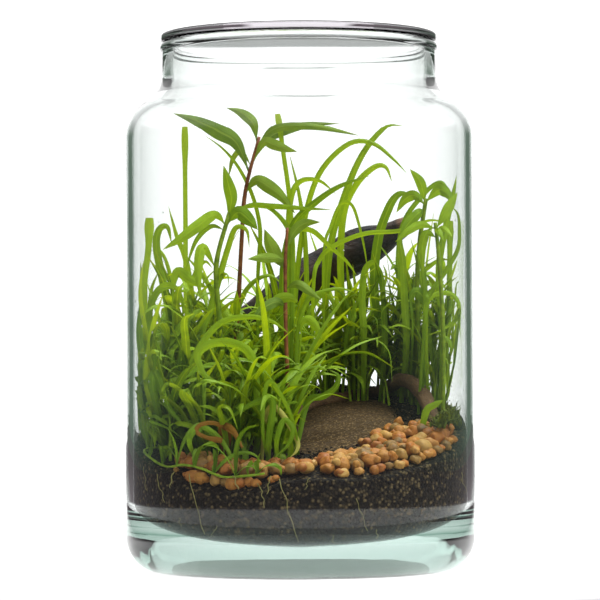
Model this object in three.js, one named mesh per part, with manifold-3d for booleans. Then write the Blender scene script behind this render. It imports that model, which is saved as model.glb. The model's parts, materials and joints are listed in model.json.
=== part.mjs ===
// Glass plant terrarium: a lidded storage jar planted with ribbon grass and red-stemmed plants.
// Millimetres, +Z up. The origin is the centre of the jar's flat base, and -Y is the front.

import * as THREE from 'three';
import { mergeVertices } from 'three/addons/utils/BufferGeometryUtils.js';
import Module from 'manifold-3d';

// Space between pieces that rest on each other
const GAP = 0.3;

// Jar and lid
const BODY_RADIUS = 80;
const WALL = 3.4;
const BASE_THICKNESS = 9;
const BASE_CORNER = 15;
const INNER_CORNER = 16;
const SHOULDER_START = 192;
const SHOULDER_RISE = 28;
const NECK_RADIUS = 62.8;
const NECK_WALL = 3.8;
const MOUTH_HEIGHT = 242.2;
const BEAD_RADIUS = 64;
const BEAD_HEIGHT = 4.6;
const LID_RADIUS = 63.6;
const LID_THICKNESS = 3.7;
const SHOULDER_TOP_RADIUS = NECK_RADIUS + 1.6;
const NECK_FOOT = MOUTH_HEIGHT - 18;
const NECK_WAIST = MOUTH_HEIGHT - 12;
const NECK_EASE = 0.5;
const RIM_EASE = 1;
const LID_STEP = 1.2;
const LID_STEP_RADIUS = NECK_RADIUS - NECK_WALL - 1.4;
const LID_EDGE = 1.3;
const GLASS_SIDES = 36;

// Ground: one sloping plane, low at the front and high at the back
const GROUND_CENTRE = 64;
const GROUND_SLOPE_BACK = 0.26;
const GROUND_SLOPE_RIGHT = 0.054;
const SAND_CENTRE = { x: 24, y: 2 };
const SAND_REACH = { x: 23, y: 35 };
const SAND_DOME = 3.6;
const SAND_EDGE = 0.9;
const SAND_SIDES = 24;

// Gravel band along the front glass, in stretches given by their angles and rows of pebbles
const GRAVEL_SEED = 41;
const GRAVEL = [
  { name: 'gravel_left', from: 216, to: 246, rows: 2 },
  { name: 'gravel_front_left', from: 246, to: 276, rows: 2 },
  { name: 'gravel_front_right', from: 276, to: 306, rows: 3 },
  { name: 'gravel_right', from: 306, to: 346, rows: 2 },
];
const GRAVEL_OUTER_ROW = 68.2;
const GRAVEL_ROW_STEP = 5.8;
const PEBBLE_SPACING = 6.9;
const PEBBLE_RADIUS = 3.9;
const PEBBLE_SPREAD = 0.5;
const PEBBLE_STRAY = 0.7;
const PEBBLE_LIFT = { least: 0.25, spread: 0.5 };
const PEBBLE_SQUASH = { least: 0.78, spread: 0.2 };
const STRETCH_END = 0.8;
const GRAVEL_EDGE = { radius: 5, angle: 4, height: 8 };

// Plants
const PLANT_SEED = 2028;
const HOLE_EASE = 0.4;
const GRASS_SPANS = 5;
const KEEL = 0.8;
const GRASS = {
  heading: { least: -0.65, spread: 1.3 },
  lean: { least: 0.04, spread: 0.5 },
  curl: { least: 0.3, spread: 2.1, power: 1.6 },
  swerve: { least: -0.9, spread: 1.8 },
  length: { least: 0.5, spread: 0.72 },
  half: { least: 1, spread: 0.55 },
  twist: { least: -0.8, spread: 1.6 },
};
const CROWN_RADIUS = 3.2;
const CROWN_DEPTH = 5;
const CROWN_RISE = 3;
const CROWN_SIDES = 6;
const ROOT_RING = 1.9;
const ROOT_LIFT = 0.4;
const COVER_LIFT = 0.5;
const RUNNER = { radius: 0.9, sides: 5, lift: 2, fromGlass: 2.2 };
const STALK_DEPTH = 6;
const STALK_SIDES = 5;
const TRIES = 30;
const BLADE_CLEARANCE = 0.7;
const GLASS_CLEARANCE = 2.8;
const SAMPLE_STEP = 2;
const CELL = 6.5;
const GOLDEN_TURN = 2.39996;

const wasm = await Module();
wasm.setup();

const COLOURS = {
  glass: { color: 0xdcebe8, roughness: 0.03 },
  soil: { color: 0x2c2926, roughness: 0.95 },
  sand: { color: 0x6b5d4c, roughness: 0.9 },
  gravel: { color: 0xcf9a6c, roughness: 0.6 },
  driftwood: { color: 0x2e2a28, roughness: 0.85 },
  root: { color: 0x735339, roughness: 0.8 },
  grass: { color: 0x6ea01e, roughness: 0.45 },
  leaf: { color: 0x4f8222, roughness: 0.45 },
  withered: { color: 0xb4702c, roughness: 0.6 },
};

const terrarium = new THREE.Group();

function addPiece(name, geometry, finish) {
  const material = new THREE.MeshStandardMaterial({ ...COLOURS[finish], metalness: 0 });
  const mesh = new THREE.Mesh(geometry, material);
  mesh.name = name;
  terrarium.add(mesh);
}

function point(x, y, z) {
  return new THREE.Vector3(x, y, z);
}

function groundHeight(x, y) {
  return GROUND_CENTRE + GROUND_SLOPE_BACK * y + GROUND_SLOPE_RIGHT * x;
}

// Closed bodies: conversion to solids and back

function toSolid(geometry) {
  const bare = geometry.clone();
  bare.deleteAttribute('normal');
  bare.deleteAttribute('uv');
  const merged = mergeVertices(bare, 1e-4);
  const mesh = new wasm.Mesh({
    numProp: 3,
    vertProperties: new Float32Array(merged.attributes.position.array),
    triVerts: new Uint32Array(merged.index.array),
  });
  return new wasm.Manifold(mesh);
}

// The largest body of a solid: loose scraps are dropped and sealed hollows are filled
function toGeometry(solid) {
  const mesh = solid.getMesh();
  const leader = Array.from({ length: mesh.vertProperties.length / 3 }, (unused, index) => index);
  const find = (index) => {
    let root = index;
    while (leader[root] !== root) {
      leader[root] = leader[leader[root]];
      root = leader[root];
    }
    return root;
  };
  const faces = [];
  for (let corner = 0; corner < mesh.triVerts.length; corner += 3) {
    const face = Array.from(mesh.triVerts.slice(corner, corner + 3));
    faces.push(face);
    leader[find(face[1])] = find(face[0]);
    leader[find(face[2])] = find(face[0]);
  }
  const points = leader.map((unused, index) => {
    return new THREE.Vector3().fromArray(mesh.vertProperties, 3 * index);
  });
  const bodies = new Map();
  faces.forEach((face) => {
    const root = find(face[0]);
    bodies.set(root, [...(bodies.get(root) ?? []), face]);
  });
  const volumes = [...bodies.values()].map((body) => [signedVolume(points, body), body]);
  const [, largest] = volumes.reduce((best, other) => (other[0] > best[0] ? other : best));
  return closedGeometry(points, largest);
}

function join(solids) {
  return solids.reduce((whole, piece) => whole.add(piece));
}

function signedVolume(points, faces) {
  return faces.reduce((sum, [a, b, c]) => {
    const cross = new THREE.Vector3().crossVectors(points[b], points[c]);
    return sum + points[a].dot(cross) / 6;
  }, 0);
}

function closedGeometry(points, faces) {
  const outward = signedVolume(points, faces) > 0;
  const index = faces.flatMap(([a, b, c]) => (outward ? [a, b, c] : [a, c, b]));
  const geometry = new THREE.BufferGeometry();
  geometry.setFromPoints(points);
  geometry.setIndex(index);
  return geometry;
}

// A body through rings of equal point count. A tip closes the far end to one point.
// crossed says, for each side, which of a quad's two diagonals splits it.
function loft(rings, tip = null, crossed = []) {
  const sides = rings[0].length;
  const points = rings.flat();
  const faces = [];
  for (let ring = 0; ring + 1 < rings.length; ring += 1) {
    for (let side = 0; side < sides; side += 1) {
      const near = ring * sides + side;
      const nearNext = ring * sides + ((side + 1) % sides);
      const far = near + sides;
      const farNext = nearNext + sides;
      if (crossed[side]) {
        faces.push([near, nearNext, farNext], [near, farNext, far]);
      } else {
        faces.push([near, nearNext, far], [nearNext, farNext, far]);
      }
    }
  }
  for (let side = 1; side + 1 < sides; side += 1) {
    faces.push([0, side + 1, side]);
  }
  const last = (rings.length - 1) * sides;
  if (tip) {
    points.push(tip);
    for (let side = 0; side < sides; side += 1) {
      faces.push([last + side, last + ((side + 1) % sides), points.length - 1]);
    }
  } else {
    for (let side = 1; side + 1 < sides; side += 1) {
      faces.push([last, last + side, last + side + 1]);
    }
  }
  return closedGeometry(points, faces);
}

function tangentAt(route, station) {
  const before = route[Math.max(station - 1, 0)];
  const after = route[Math.min(station + 1, route.length - 1)];
  return new THREE.Vector3().subVectors(after, before).normalize();
}

// A round body along a route, with a radius for each station
function tube(route, radii, sides, lumps = () => 1) {
  let across = point(0, 1, 0);
  const rings = route.map((centre, station) => {
    const tangent = tangentAt(route, station);
    across = across.clone().addScaledVector(tangent, -across.dot(tangent)).normalize();
    const up = new THREE.Vector3().crossVectors(tangent, across);
    return Array.from({ length: sides }, (unused, side) => {
      const angle = (side / sides) * 2 * Math.PI;
      const radius = radii[station] * lumps(station, side);
      return centre.clone()
        .addScaledVector(across, radius * Math.cos(angle))
        .addScaledVector(up, radius * Math.sin(angle));
    });
  });
  return loft(rings);
}

function lathe(profile, sides) {
  const outline = profile.map(([radius, height]) => new THREE.Vector2(radius, height));
  return new THREE.LatheGeometry(outline, sides).rotateX(Math.PI / 2);
}

// Arc points from one angle to another, in degrees, round a centre in the profile plane
function arc(centreRadius, centreHeight, reach, rise, from, to, steps) {
  return Array.from({ length: steps + 1 }, (unused, step) => {
    const angle = THREE.MathUtils.degToRad(from + ((to - from) * step) / steps);
    return [centreRadius + reach * Math.cos(angle), centreHeight + rise * Math.sin(angle)];
  });
}

function randomSource(seed) {
  let state = seed;
  return () => {
    state = (state + 0x6d2b79f5) | 0;
    let mixed = Math.imul(state ^ (state >>> 15), 1 | state);
    mixed = (mixed + Math.imul(mixed ^ (mixed >>> 7), 61 | mixed)) ^ mixed;
    return ((mixed ^ (mixed >>> 14)) >>> 0) / 4294967296;
  };
}

function drawWithin(range, draw) {
  return range.least + range.spread * draw() ** (range.power ?? 1);
}

// Glass

function jarOutside() {
  const shoulderReach = BODY_RADIUS - SHOULDER_TOP_RADIUS;
  return [
    [0, 0],
    ...arc(BODY_RADIUS - BASE_CORNER, BASE_CORNER, BASE_CORNER, BASE_CORNER, -90, 0, 4),
    ...arc(SHOULDER_TOP_RADIUS, SHOULDER_START, shoulderReach, SHOULDER_RISE, 0, 84, 6),
    [NECK_RADIUS + NECK_EASE, NECK_FOOT],
    [NECK_RADIUS, NECK_WAIST],
    [NECK_RADIUS + NECK_EASE, MOUTH_HEIGHT - BEAD_HEIGHT],
    [BEAD_RADIUS, MOUTH_HEIGHT - BEAD_HEIGHT + RIM_EASE],
    [BEAD_RADIUS, MOUTH_HEIGHT - RIM_EASE],
    [BEAD_RADIUS - RIM_EASE, MOUTH_HEIGHT],
  ];
}

function jarInside() {
  const innerRadius = BODY_RADIUS - WALL;
  const neckInside = NECK_RADIUS - NECK_WALL;
  const shoulderTop = neckInside + RIM_EASE;
  const shoulderReach = innerRadius - shoulderTop;
  const corner = innerRadius - INNER_CORNER;
  return [
    [neckInside + RIM_EASE, MOUTH_HEIGHT],
    [neckInside, MOUTH_HEIGHT - RIM_EASE],
    [neckInside, NECK_FOOT - RIM_EASE],
    ...arc(shoulderTop, SHOULDER_START, shoulderReach, SHOULDER_RISE - WALL, 82, 0, 5),
    ...arc(corner, BASE_THICKNESS + INNER_CORNER, INNER_CORNER, INNER_CORNER, 0, -90, 4),
    [0, BASE_THICKNESS],
  ];
}

// The lid rests on the mouth, and a low step under it keeps it centred
function lidProfile() {
  const seat = MOUTH_HEIGHT + GAP;
  const top = seat + LID_THICKNESS;
  return [
    [0, seat - LID_STEP],
    [LID_STEP_RADIUS - LID_STEP, seat - LID_STEP],
    [LID_STEP_RADIUS, seat],
    [LID_RADIUS - LID_EDGE, seat],
    [LID_RADIUS, seat + LID_EDGE],
    [LID_RADIUS, top - LID_EDGE],
    [LID_RADIUS - LID_EDGE, top],
    [0, top],
  ];
}

function addGlass() {
  addPiece('glass_jar', lathe([...jarOutside(), ...jarInside()], GLASS_SIDES), 'glass');
  addPiece('glass_lid', lathe(lidProfile(), GLASS_SIDES), 'glass');
}

// Ground

function shearToGround(geometry) {
  const positions = geometry.attributes.position;
  for (let index = 0; index < positions.count; index += 1) {
    const x = positions.getX(index);
    const y = positions.getY(index);
    positions.setZ(index, positions.getZ(index) + groundHeight(x, y));
  }
  return geometry;
}

// Everything below the sloping ground, lifted by an amount
function belowGround(lift) {
  const depth = 3 * GROUND_CENTRE;
  const slab = new THREE.BoxGeometry(3 * BODY_RADIUS, 3 * BODY_RADIUS, depth);
  slab.translate(0, 0, lift - depth / 2);
  return toSolid(shearToGround(slab));
}

function soilFill() {
  const radius = BODY_RADIUS - WALL - GAP;
  const floor = BASE_THICKNESS + GAP;
  const corner = INNER_CORNER - GAP;
  const profile = [
    [0, floor],
    ...arc(radius - corner, floor + corner, corner, corner, -90, 0, 4),
    [radius, 2 * GROUND_CENTRE],
    [0, 2 * GROUND_CENTRE],
  ];
  return toSolid(lathe(profile, GLASS_SIDES)).intersect(belowGround(0));
}

function sandPatch() {
  const steps = 3;
  const rise = SAND_DOME - SAND_EDGE;
  const dome = Array.from({ length: steps }, (unused, step) => {
    const reach = 1 - step / steps;
    return [reach, SAND_EDGE + rise * (1 - reach * reach)];
  });
  const patch = lathe([[0, 0], [1, 0], ...dome, [0, SAND_DOME]], SAND_SIDES);
  patch.scale(SAND_REACH.x, SAND_REACH.y, 1);
  patch.translate(SAND_CENTRE.x, SAND_CENTRE.y, GAP);
  return shearToGround(patch);
}

// Wood. Routes are centre lines, with a radius at each station.

const LARGEST_LUMP = 1.14;
const BRANCH = {
  route: [
    point(-47, 45, 64), point(-45, 46, 84), point(-36, 49, 105), point(-22, 52, 117), point(-8, 55, 127),
    point(8, 56, 137), point(18.5, 56, 143.5), point(29, 54.5, 149), point(40.5, 51, 154), point(47, 48, 158),
    point(52, 45, 161),
  ],
  radii: [6.4, 6.8, 7.4, 8.2, 9, 9.6, 10, 9.4, 7.4, 5.4, 3.6],
  sides: 8,
};
const ARCH = {
  lying: [[-3, 19], [5, 32], [13.5, 40], [25, 45.5], [37, 47.5]],
  route: [
    point(44.5, 40, 85), point(47.3, 32, 87), point(52.4, 23, 85.6), point(56.9, 13, 80.4),
    point(59.7, 4, 74), point(61.6, -6, 66.9), point(62.1, -13, 61.7), point(62.3, -18, 54),
  ],
  radii: [1.9, 2.3, 2.2, 2.3, 2.6, 3, 3.5, 3.6, 3.4, 3.2, 3, 2.9, 2.6],
  sides: 7,
};
// The root's left part lies along the ground, and its right part bows over the sand
ARCH.route.unshift(...ARCH.lying.map(([x, y], station) => {
  return point(x, y, groundHeight(x, y) + LARGEST_LUMP * ARCH.radii[station] + GAP);
}));

// Knots and hollows along the wood
function woodLumps(station, side) {
  return 1 + 0.09 * Math.sin(station * 2.3 + side * 1.7) + 0.05 * Math.cos(side * 2.9 - station);
}

function woodBody(wood, grow) {
  const radii = wood.radii.map((radius) => radius + grow);
  const route = wood.route.map((centre) => centre.clone());
  const last = route.length - 1;
  route[0].addScaledVector(tangentAt(wood.route, 0), -grow);
  route[last].addScaledVector(tangentAt(wood.route, last), grow);
  return tube(route, radii, wood.sides, woodLumps);
}

function distanceToSpan(position, start, end) {
  const span = new THREE.Vector3().subVectors(end, start);
  const offset = new THREE.Vector3().subVectors(position, start);
  const along = THREE.MathUtils.clamp(offset.dot(span) / span.lengthSq(), 0, 1);
  return offset.addScaledVector(span, -along).length();
}

function clearOfWood(position, reach) {
  return [BRANCH, ARCH].every((wood) => {
    return wood.route.slice(1).every((end, span) => {
      const radius = LARGEST_LUMP * Math.max(wood.radii[span], wood.radii[span + 1]);
      return distanceToSpan(position, wood.route[span], end) > radius + reach;
    });
  });
}

// Gravel: rounded pebbles packed until they hold together, sunk to the ground

function pebbleGrid(stretch, draw) {
  const pebbles = [];
  const start = THREE.MathUtils.degToRad(stretch.from);
  const turn = THREE.MathUtils.degToRad(stretch.to - stretch.from);
  for (let row = 0; row < stretch.rows; row += 1) {
    const ring = GRAVEL_OUTER_ROW - row * GRAVEL_ROW_STEP;
    const arcLength = turn * ring - 2 * (PEBBLE_RADIUS + STRETCH_END);
    const count = Math.ceil(arcLength / PEBBLE_SPACING);
    for (let place = 0; place <= count; place += 1) {
      const along = PEBBLE_RADIUS + STRETCH_END + (place / count) * arcLength;
      const angle = start + along / ring;
      const radius = PEBBLE_RADIUS + PEBBLE_SPREAD * draw();
      const out = ring + PEBBLE_STRAY * (draw() - 0.5);
      const x = out * Math.cos(angle);
      const y = out * Math.sin(angle);
      const lift = radius * drawWithin(PEBBLE_LIFT, draw);
      const tumble = draw() * Math.PI;
      const squash = drawWithin(PEBBLE_SQUASH, draw);
      pebbles.push({ centre: point(x, y, groundHeight(x, y) + lift), radius, tumble, squash });
    }
  }
  return pebbles;
}

function pebbleBody(pebble) {
  const body = new THREE.IcosahedronGeometry(pebble.radius, 0);
  body.rotateX(pebble.tumble);
  body.scale(1, 1, pebble.squash);
  body.rotateZ(2 * pebble.tumble);
  body.translate(pebble.centre.x, pebble.centre.y, pebble.centre.z);
  return toSolid(body);
}

function addGravel() {
  const draw = randomSource(GRAVEL_SEED);
  const ground = belowGround(GAP);
  GRAVEL.forEach((stretch) => {
    const pebbles = pebbleGrid(stretch, draw).filter((pebble) => {
      return clearOfWood(pebble.centre, pebble.radius + GAP);
    });
    const heap = join(pebbles.map(pebbleBody)).subtract(ground);
    addPiece(stretch.name, toGeometry(heap), 'gravel');
  });
}

// Plants. A blade is a keeled ribbon: a flat upper face with a ridge under its middle.

const grassWidth = (along) => Math.min(1, 0.6 + 1.4 * along) * (1 - along ** 5);
const leafWidth = (along) => 0.2 + 0.8 * Math.sin(Math.PI * along ** 0.8);
const stemWidth = (along) => 1 - 0.25 * along;

function ribbon(blade) {
  const last = blade.route.length - 1;
  const rings = blade.route.map((centre, station) => {
    const along = station / last;
    const tangent = tangentAt(blade.route, station);
    const side = blade.side.clone().addScaledVector(tangent, -blade.side.dot(tangent)).normalize();
    if (blade.facing) {
      side.crossVectors(tangent, blade.facing).normalize();
    }
    side.applyAxisAngle(tangent, blade.twist * along);
    const under = new THREE.Vector3().crossVectors(tangent, side);
    const half = blade.half * blade.shape(along);
    return [
      centre.clone().addScaledVector(side, half),
      centre.clone().addScaledVector(side, -half),
      centre.clone().addScaledVector(under, KEEL),
    ];
  });
  const tip = blade.blunt ? null : blade.route[last];
  const body = tip ? rings.slice(0, -1) : rings;
  return toSolid(loft(body, tip, [true, false, false]));
}

// Where blades already are, in a grid of cells, so that plants grow past each other
class Thicket {
  constructor() {
    this.cells = new Map();
  }

  static cellOf(position) {
    return [position.x, position.y, position.z].map((value) => Math.floor(value / CELL));
  }

  static key(column, row, level) {
    return (column + 64) * 16384 + (row + 64) * 128 + level;
  }

  static samples(route) {
    const found = [];
    for (let span = 0; span + 1 < route.length; span += 1) {
      const steps = Math.ceil(route[span].distanceTo(route[span + 1]) / SAMPLE_STEP);
      for (let step = 0; step < steps; step += 1) {
        found.push(route[span].clone().lerp(route[span + 1], step / steps));
      }
    }
    found.push(route[route.length - 1].clone());
    return found;
  }

  add(route, reach, owner) {
    Thicket.samples(route).forEach((position) => {
      const key = Thicket.key(...Thicket.cellOf(position));
      if (!this.cells.has(key)) {
        this.cells.set(key, []);
      }
      this.cells.get(key).push({ position, reach, owner });
    });
  }

  touches(position, reach, owner) {
    const [column, row, level] = Thicket.cellOf(position);
    for (let i = column - 1; i <= column + 1; i += 1) {
      for (let j = row - 1; j <= row + 1; j += 1) {
        for (let k = level - 1; k <= level + 1; k += 1) {
          const near = this.cells.get(Thicket.key(i, j, k)) || [];
          const hit = near.some((other) => {
            const limit = reach + other.reach + BLADE_CLEARANCE;
            return other.owner !== owner && position.distanceToSquared(other.position) < limit * limit;
          });
          if (hit) {
            return true;
          }
        }
      }
    }
    return false;
  }
}

function glassLimit(height) {
  const narrowing = Math.max(0, height - SHOULDER_START + 2) * 0.45;
  return BODY_RADIUS - WALL - GLASS_CLEARANCE - narrowing;
}

// Blades that reach the glass slide up along it
function keepInside(position) {
  const radius = Math.hypot(position.x, position.y);
  const limit = glassLimit(position.z);
  if (radius > limit) {
    position.x *= limit / radius;
    position.y *= limit / radius;
  }
  return position;
}

function coverHeight(x, y) {
  const sandX = (x - SAND_CENTRE.x) / (SAND_REACH.x + 1);
  const sandY = (y - SAND_CENTRE.y) / (SAND_REACH.y + 1);
  const angle = (THREE.MathUtils.radToDeg(Math.atan2(y, x)) + 360) % 360;
  const overGravel = GRAVEL.some((stretch) => {
    const innerRow = GRAVEL_OUTER_ROW - (stretch.rows - 1) * GRAVEL_ROW_STEP;
    return angle > stretch.from - GRAVEL_EDGE.angle
      && angle < stretch.to + GRAVEL_EDGE.angle
      && Math.hypot(x, y) > innerRow - GRAVEL_EDGE.radius;
  });
  if (overGravel) {
    return groundHeight(x, y) + GRAVEL_EDGE.height;
  }
  if (sandX * sandX + sandY * sandY < 1) {
    return groundHeight(x, y) + SAND_DOME + COVER_LIFT;
  }
  return groundHeight(x, y) + COVER_LIFT;
}

function hasRoom(thicket, blade, owner) {
  return Thicket.samples(blade.route).every((position, index) => {
    const outOfCrown = index * SAMPLE_STEP > 2 * CROWN_RISE;
    const aboveGround = !outOfCrown || position.z > coverHeight(position.x, position.y) + blade.half;
    return aboveGround
      && clearOfWood(position, blade.half + BLADE_CLEARANCE)
      && !thicket.touches(position, blade.half, owner);
  });
}

// A blade that rises from its crown and bows over under its own weight
function grassBlade(tuft, turn, draw) {
  const heading = turn + drawWithin(GRASS.heading, draw);
  const lean = drawWithin(GRASS.lean, draw);
  const curl = drawWithin(GRASS.curl, draw);
  const swerve = drawWithin(GRASS.swerve, draw);
  const length = tuft.tall * drawWithin(GRASS.length, draw);
  const half = drawWithin(GRASS.half, draw);
  const twist = drawWithin(GRASS.twist, draw);
  const step = length / GRASS_SPANS;
  const start = point(tuft.x + ROOT_RING * Math.cos(turn), tuft.y + ROOT_RING * Math.sin(turn), 0);
  start.z = groundHeight(tuft.x, tuft.y) + ROOT_LIFT;
  const route = [start];
  for (let span = 0; span < GRASS_SPANS; span += 1) {
    const along = (span + 0.5) / GRASS_SPANS;
    const slant = lean + curl * along * along;
    const bearing = heading + swerve * along;
    const next = route[span].clone();
    next.x += step * Math.sin(slant) * Math.cos(bearing);
    next.y += step * Math.sin(slant) * Math.sin(bearing);
    next.z += step * Math.cos(slant);
    route.push(keepInside(next));
  }
  const side = point(-Math.sin(heading), Math.cos(heading), 0);
  return { route, half, twist, side, shape: grassWidth };
}

// A named blade that follows its own route and shows its face to the front
function facedBlade(start, spec) {
  const route = [start, ...spec.route.map(([x, y, z]) => keepInside(point(x, y, z)))];
  return {
    route,
    half: spec.half,
    twist: spec.twist ?? 0,
    side: point(1, 0, 0),
    facing: point(0, 1, 0),
    blunt: spec.blunt ?? false,
    shape: spec.blunt ? stemWidth : (spec.shape ?? grassWidth),
  };
}

function crownBody(x, y) {
  const ground = groundHeight(x, y);
  const route = [-CROWN_DEPTH, 0.5, CROWN_RISE].map((height) => point(x, y, ground + height));
  return toSolid(tube(route, [CROWN_RADIUS - 0.6, CROWN_RADIUS, CROWN_RADIUS - 1], CROWN_SIDES));
}

function plantHole(x, y, radius, depth) {
  const ground = groundHeight(x, y);
  const aboveGround = 20;
  const route = [-depth - GAP, aboveGround].map((height) => point(x, y, ground + height));
  return toSolid(tube(route, [radius, radius], CROWN_SIDES));
}

// Grass tufts: the crown's place, the usual blade length, the number of free blades,
// and the blades that stand out, each with its own route above the crown.
const TUFTS = [
  { x: -60, y: -20, tall: 68, blades: 9, runner: true },
  { x: -43, y: -31, tall: 62, blades: 9 },
  { x: -27, y: -43, tall: 56, blades: 8 },
  { x: -9, y: -42, tall: 58, blades: 8 },
  {
    x: -64,
    y: 4,
    tall: 80,
    blades: 8,
    stands: [
      {
        half: 1.9,
        blunt: true,
        route: [[-68.5, 2, 85], [-71, 0, 110], [-71.5, -2, 131], [-69.5, -2, 147], [-69, -1, 162]],
      },
    ],
  },
  { x: -48, y: -12, tall: 74, blades: 9 },
  { x: -31, y: -22, tall: 72, blades: 9 },
  { x: -14, y: -22, tall: 74, blades: 9 },
  {
    x: -55,
    y: 15,
    tall: 80,
    blades: 8,
    stands: [
      {
        half: 1.8,
        route: [
          [-58.5, 9, 87.5], [-59, 8, 110], [-63, 8, 131], [-66.5, 8, 149],
          [-65, 7, 157], [-61, 6, 158], [-59, 5, 150],
        ],
      },
    ],
  },
  {
    x: -51,
    y: 33,
    tall: 84,
    blades: 8,
    stands: [
      {
        half: 1.4,
        route: [[-49, 28, 101], [-50.5, 25, 124], [-53.5, 22, 144], [-57.5, 21, 154], [-61.5, 20, 168.5]],
      },
      {
        half: 1.4,
        blunt: true,
        route: [[-53, 34, 106], [-54, 33, 129], [-54, 32, 152], [-54, 30, 180], [-54, 28, 207]],
      },
    ],
  },
  { x: -33, y: 30, tall: 84, blades: 9 },
  { x: -16, y: 4, tall: 78, blades: 9 },
  {
    x: -8,
    y: 24,
    tall: 84,
    blades: 7,
    stands: [
      {
        half: 1.3,
        blunt: true,
        route: [[-4, 22, 110], [-3, 19, 143], [-4.5, 17, 171], [-7.5, 16, 194], [-10, 15, 213]],
      },
      {
        half: 1.6,
        route: [
          [-7.5, 12, 110], [-7.5, 6, 138], [-3, 2, 158], [6.5, -2, 168],
          [18.5, -4, 176], [32, -6, 180.5],
        ],
      },
    ],
  },
  { x: -22, y: 40, tall: 80, blades: 8 },
  {
    x: -5,
    y: 42,
    tall: 82,
    blades: 8,
    stands: [
      {
        half: 1.2,
        route: [
          [-3, 38, 111], [-0.5, 34, 143], [4, 30, 169], [11, 27, 186], [23.5, 25, 197.5],
          [34.5, 23, 197.5], [44, 20, 190], [50.5, 18, 183],
        ],
      },
      { half: 1.1, route: [[2.5, 36, 111], [3, 32, 146], [0.5, 30, 171], [-4.5, 28, 193]] },
    ],
  },
  {
    x: 13,
    y: 50,
    tall: 80,
    blades: 10,
    stands: [
      {
        half: 1.5,
        route: [
          [12, 42, 111], [14, 36, 146], [20.5, 31, 171], [30, 28, 193],
          [41.5, 27, 206], [49, 26, 206.5],
        ],
      },
    ],
  },
  {
    x: 28,
    y: 57,
    tall: 78,
    blades: 10,
    stands: [
      {
        half: 1.5,
        route: [
          [22, 48, 111], [19.5, 41, 139], [21, 38, 165], [27, 36, 179],
          [35.5, 35, 187], [41, 34, 187], [44, 33, 180],
        ],
      },
    ],
  },
  {
    x: 45,
    y: 53,
    tall: 82,
    blades: 10,
    stands: [
      { half: 2, route: [[36, 42, 125], [37, 37, 151], [42, 33, 167], [47, 31, 174], [53, 30, 174]] },
    ],
  },
  {
    x: 55,
    y: 36,
    tall: 78,
    blades: 8,
    stands: [
      {
        half: 1.1,
        route: [
          [50, 34, 111], [46.5, 30, 139], [49, 26, 160], [58, 23, 173],
          [66, 21, 179], [70, 18, 175], [71, 15, 167],
        ],
      },
    ],
  },
  {
    x: 65,
    y: 19,
    tall: 76,
    blades: 7,
    stands: [
      {
        half: 1.5,
        route: [[66.5, 16, 110], [65, 12, 138], [68.5, 9, 159], [71.5, 5, 172], [73, 2, 181]],
      },
      { half: 1.7, blunt: true, route: [[70, 19, 110], [71, 20, 134], [71.5, 19, 161]] },
    ],
  },
  { x: -38, y: 12, tall: 76, blades: 6 },
];

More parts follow.
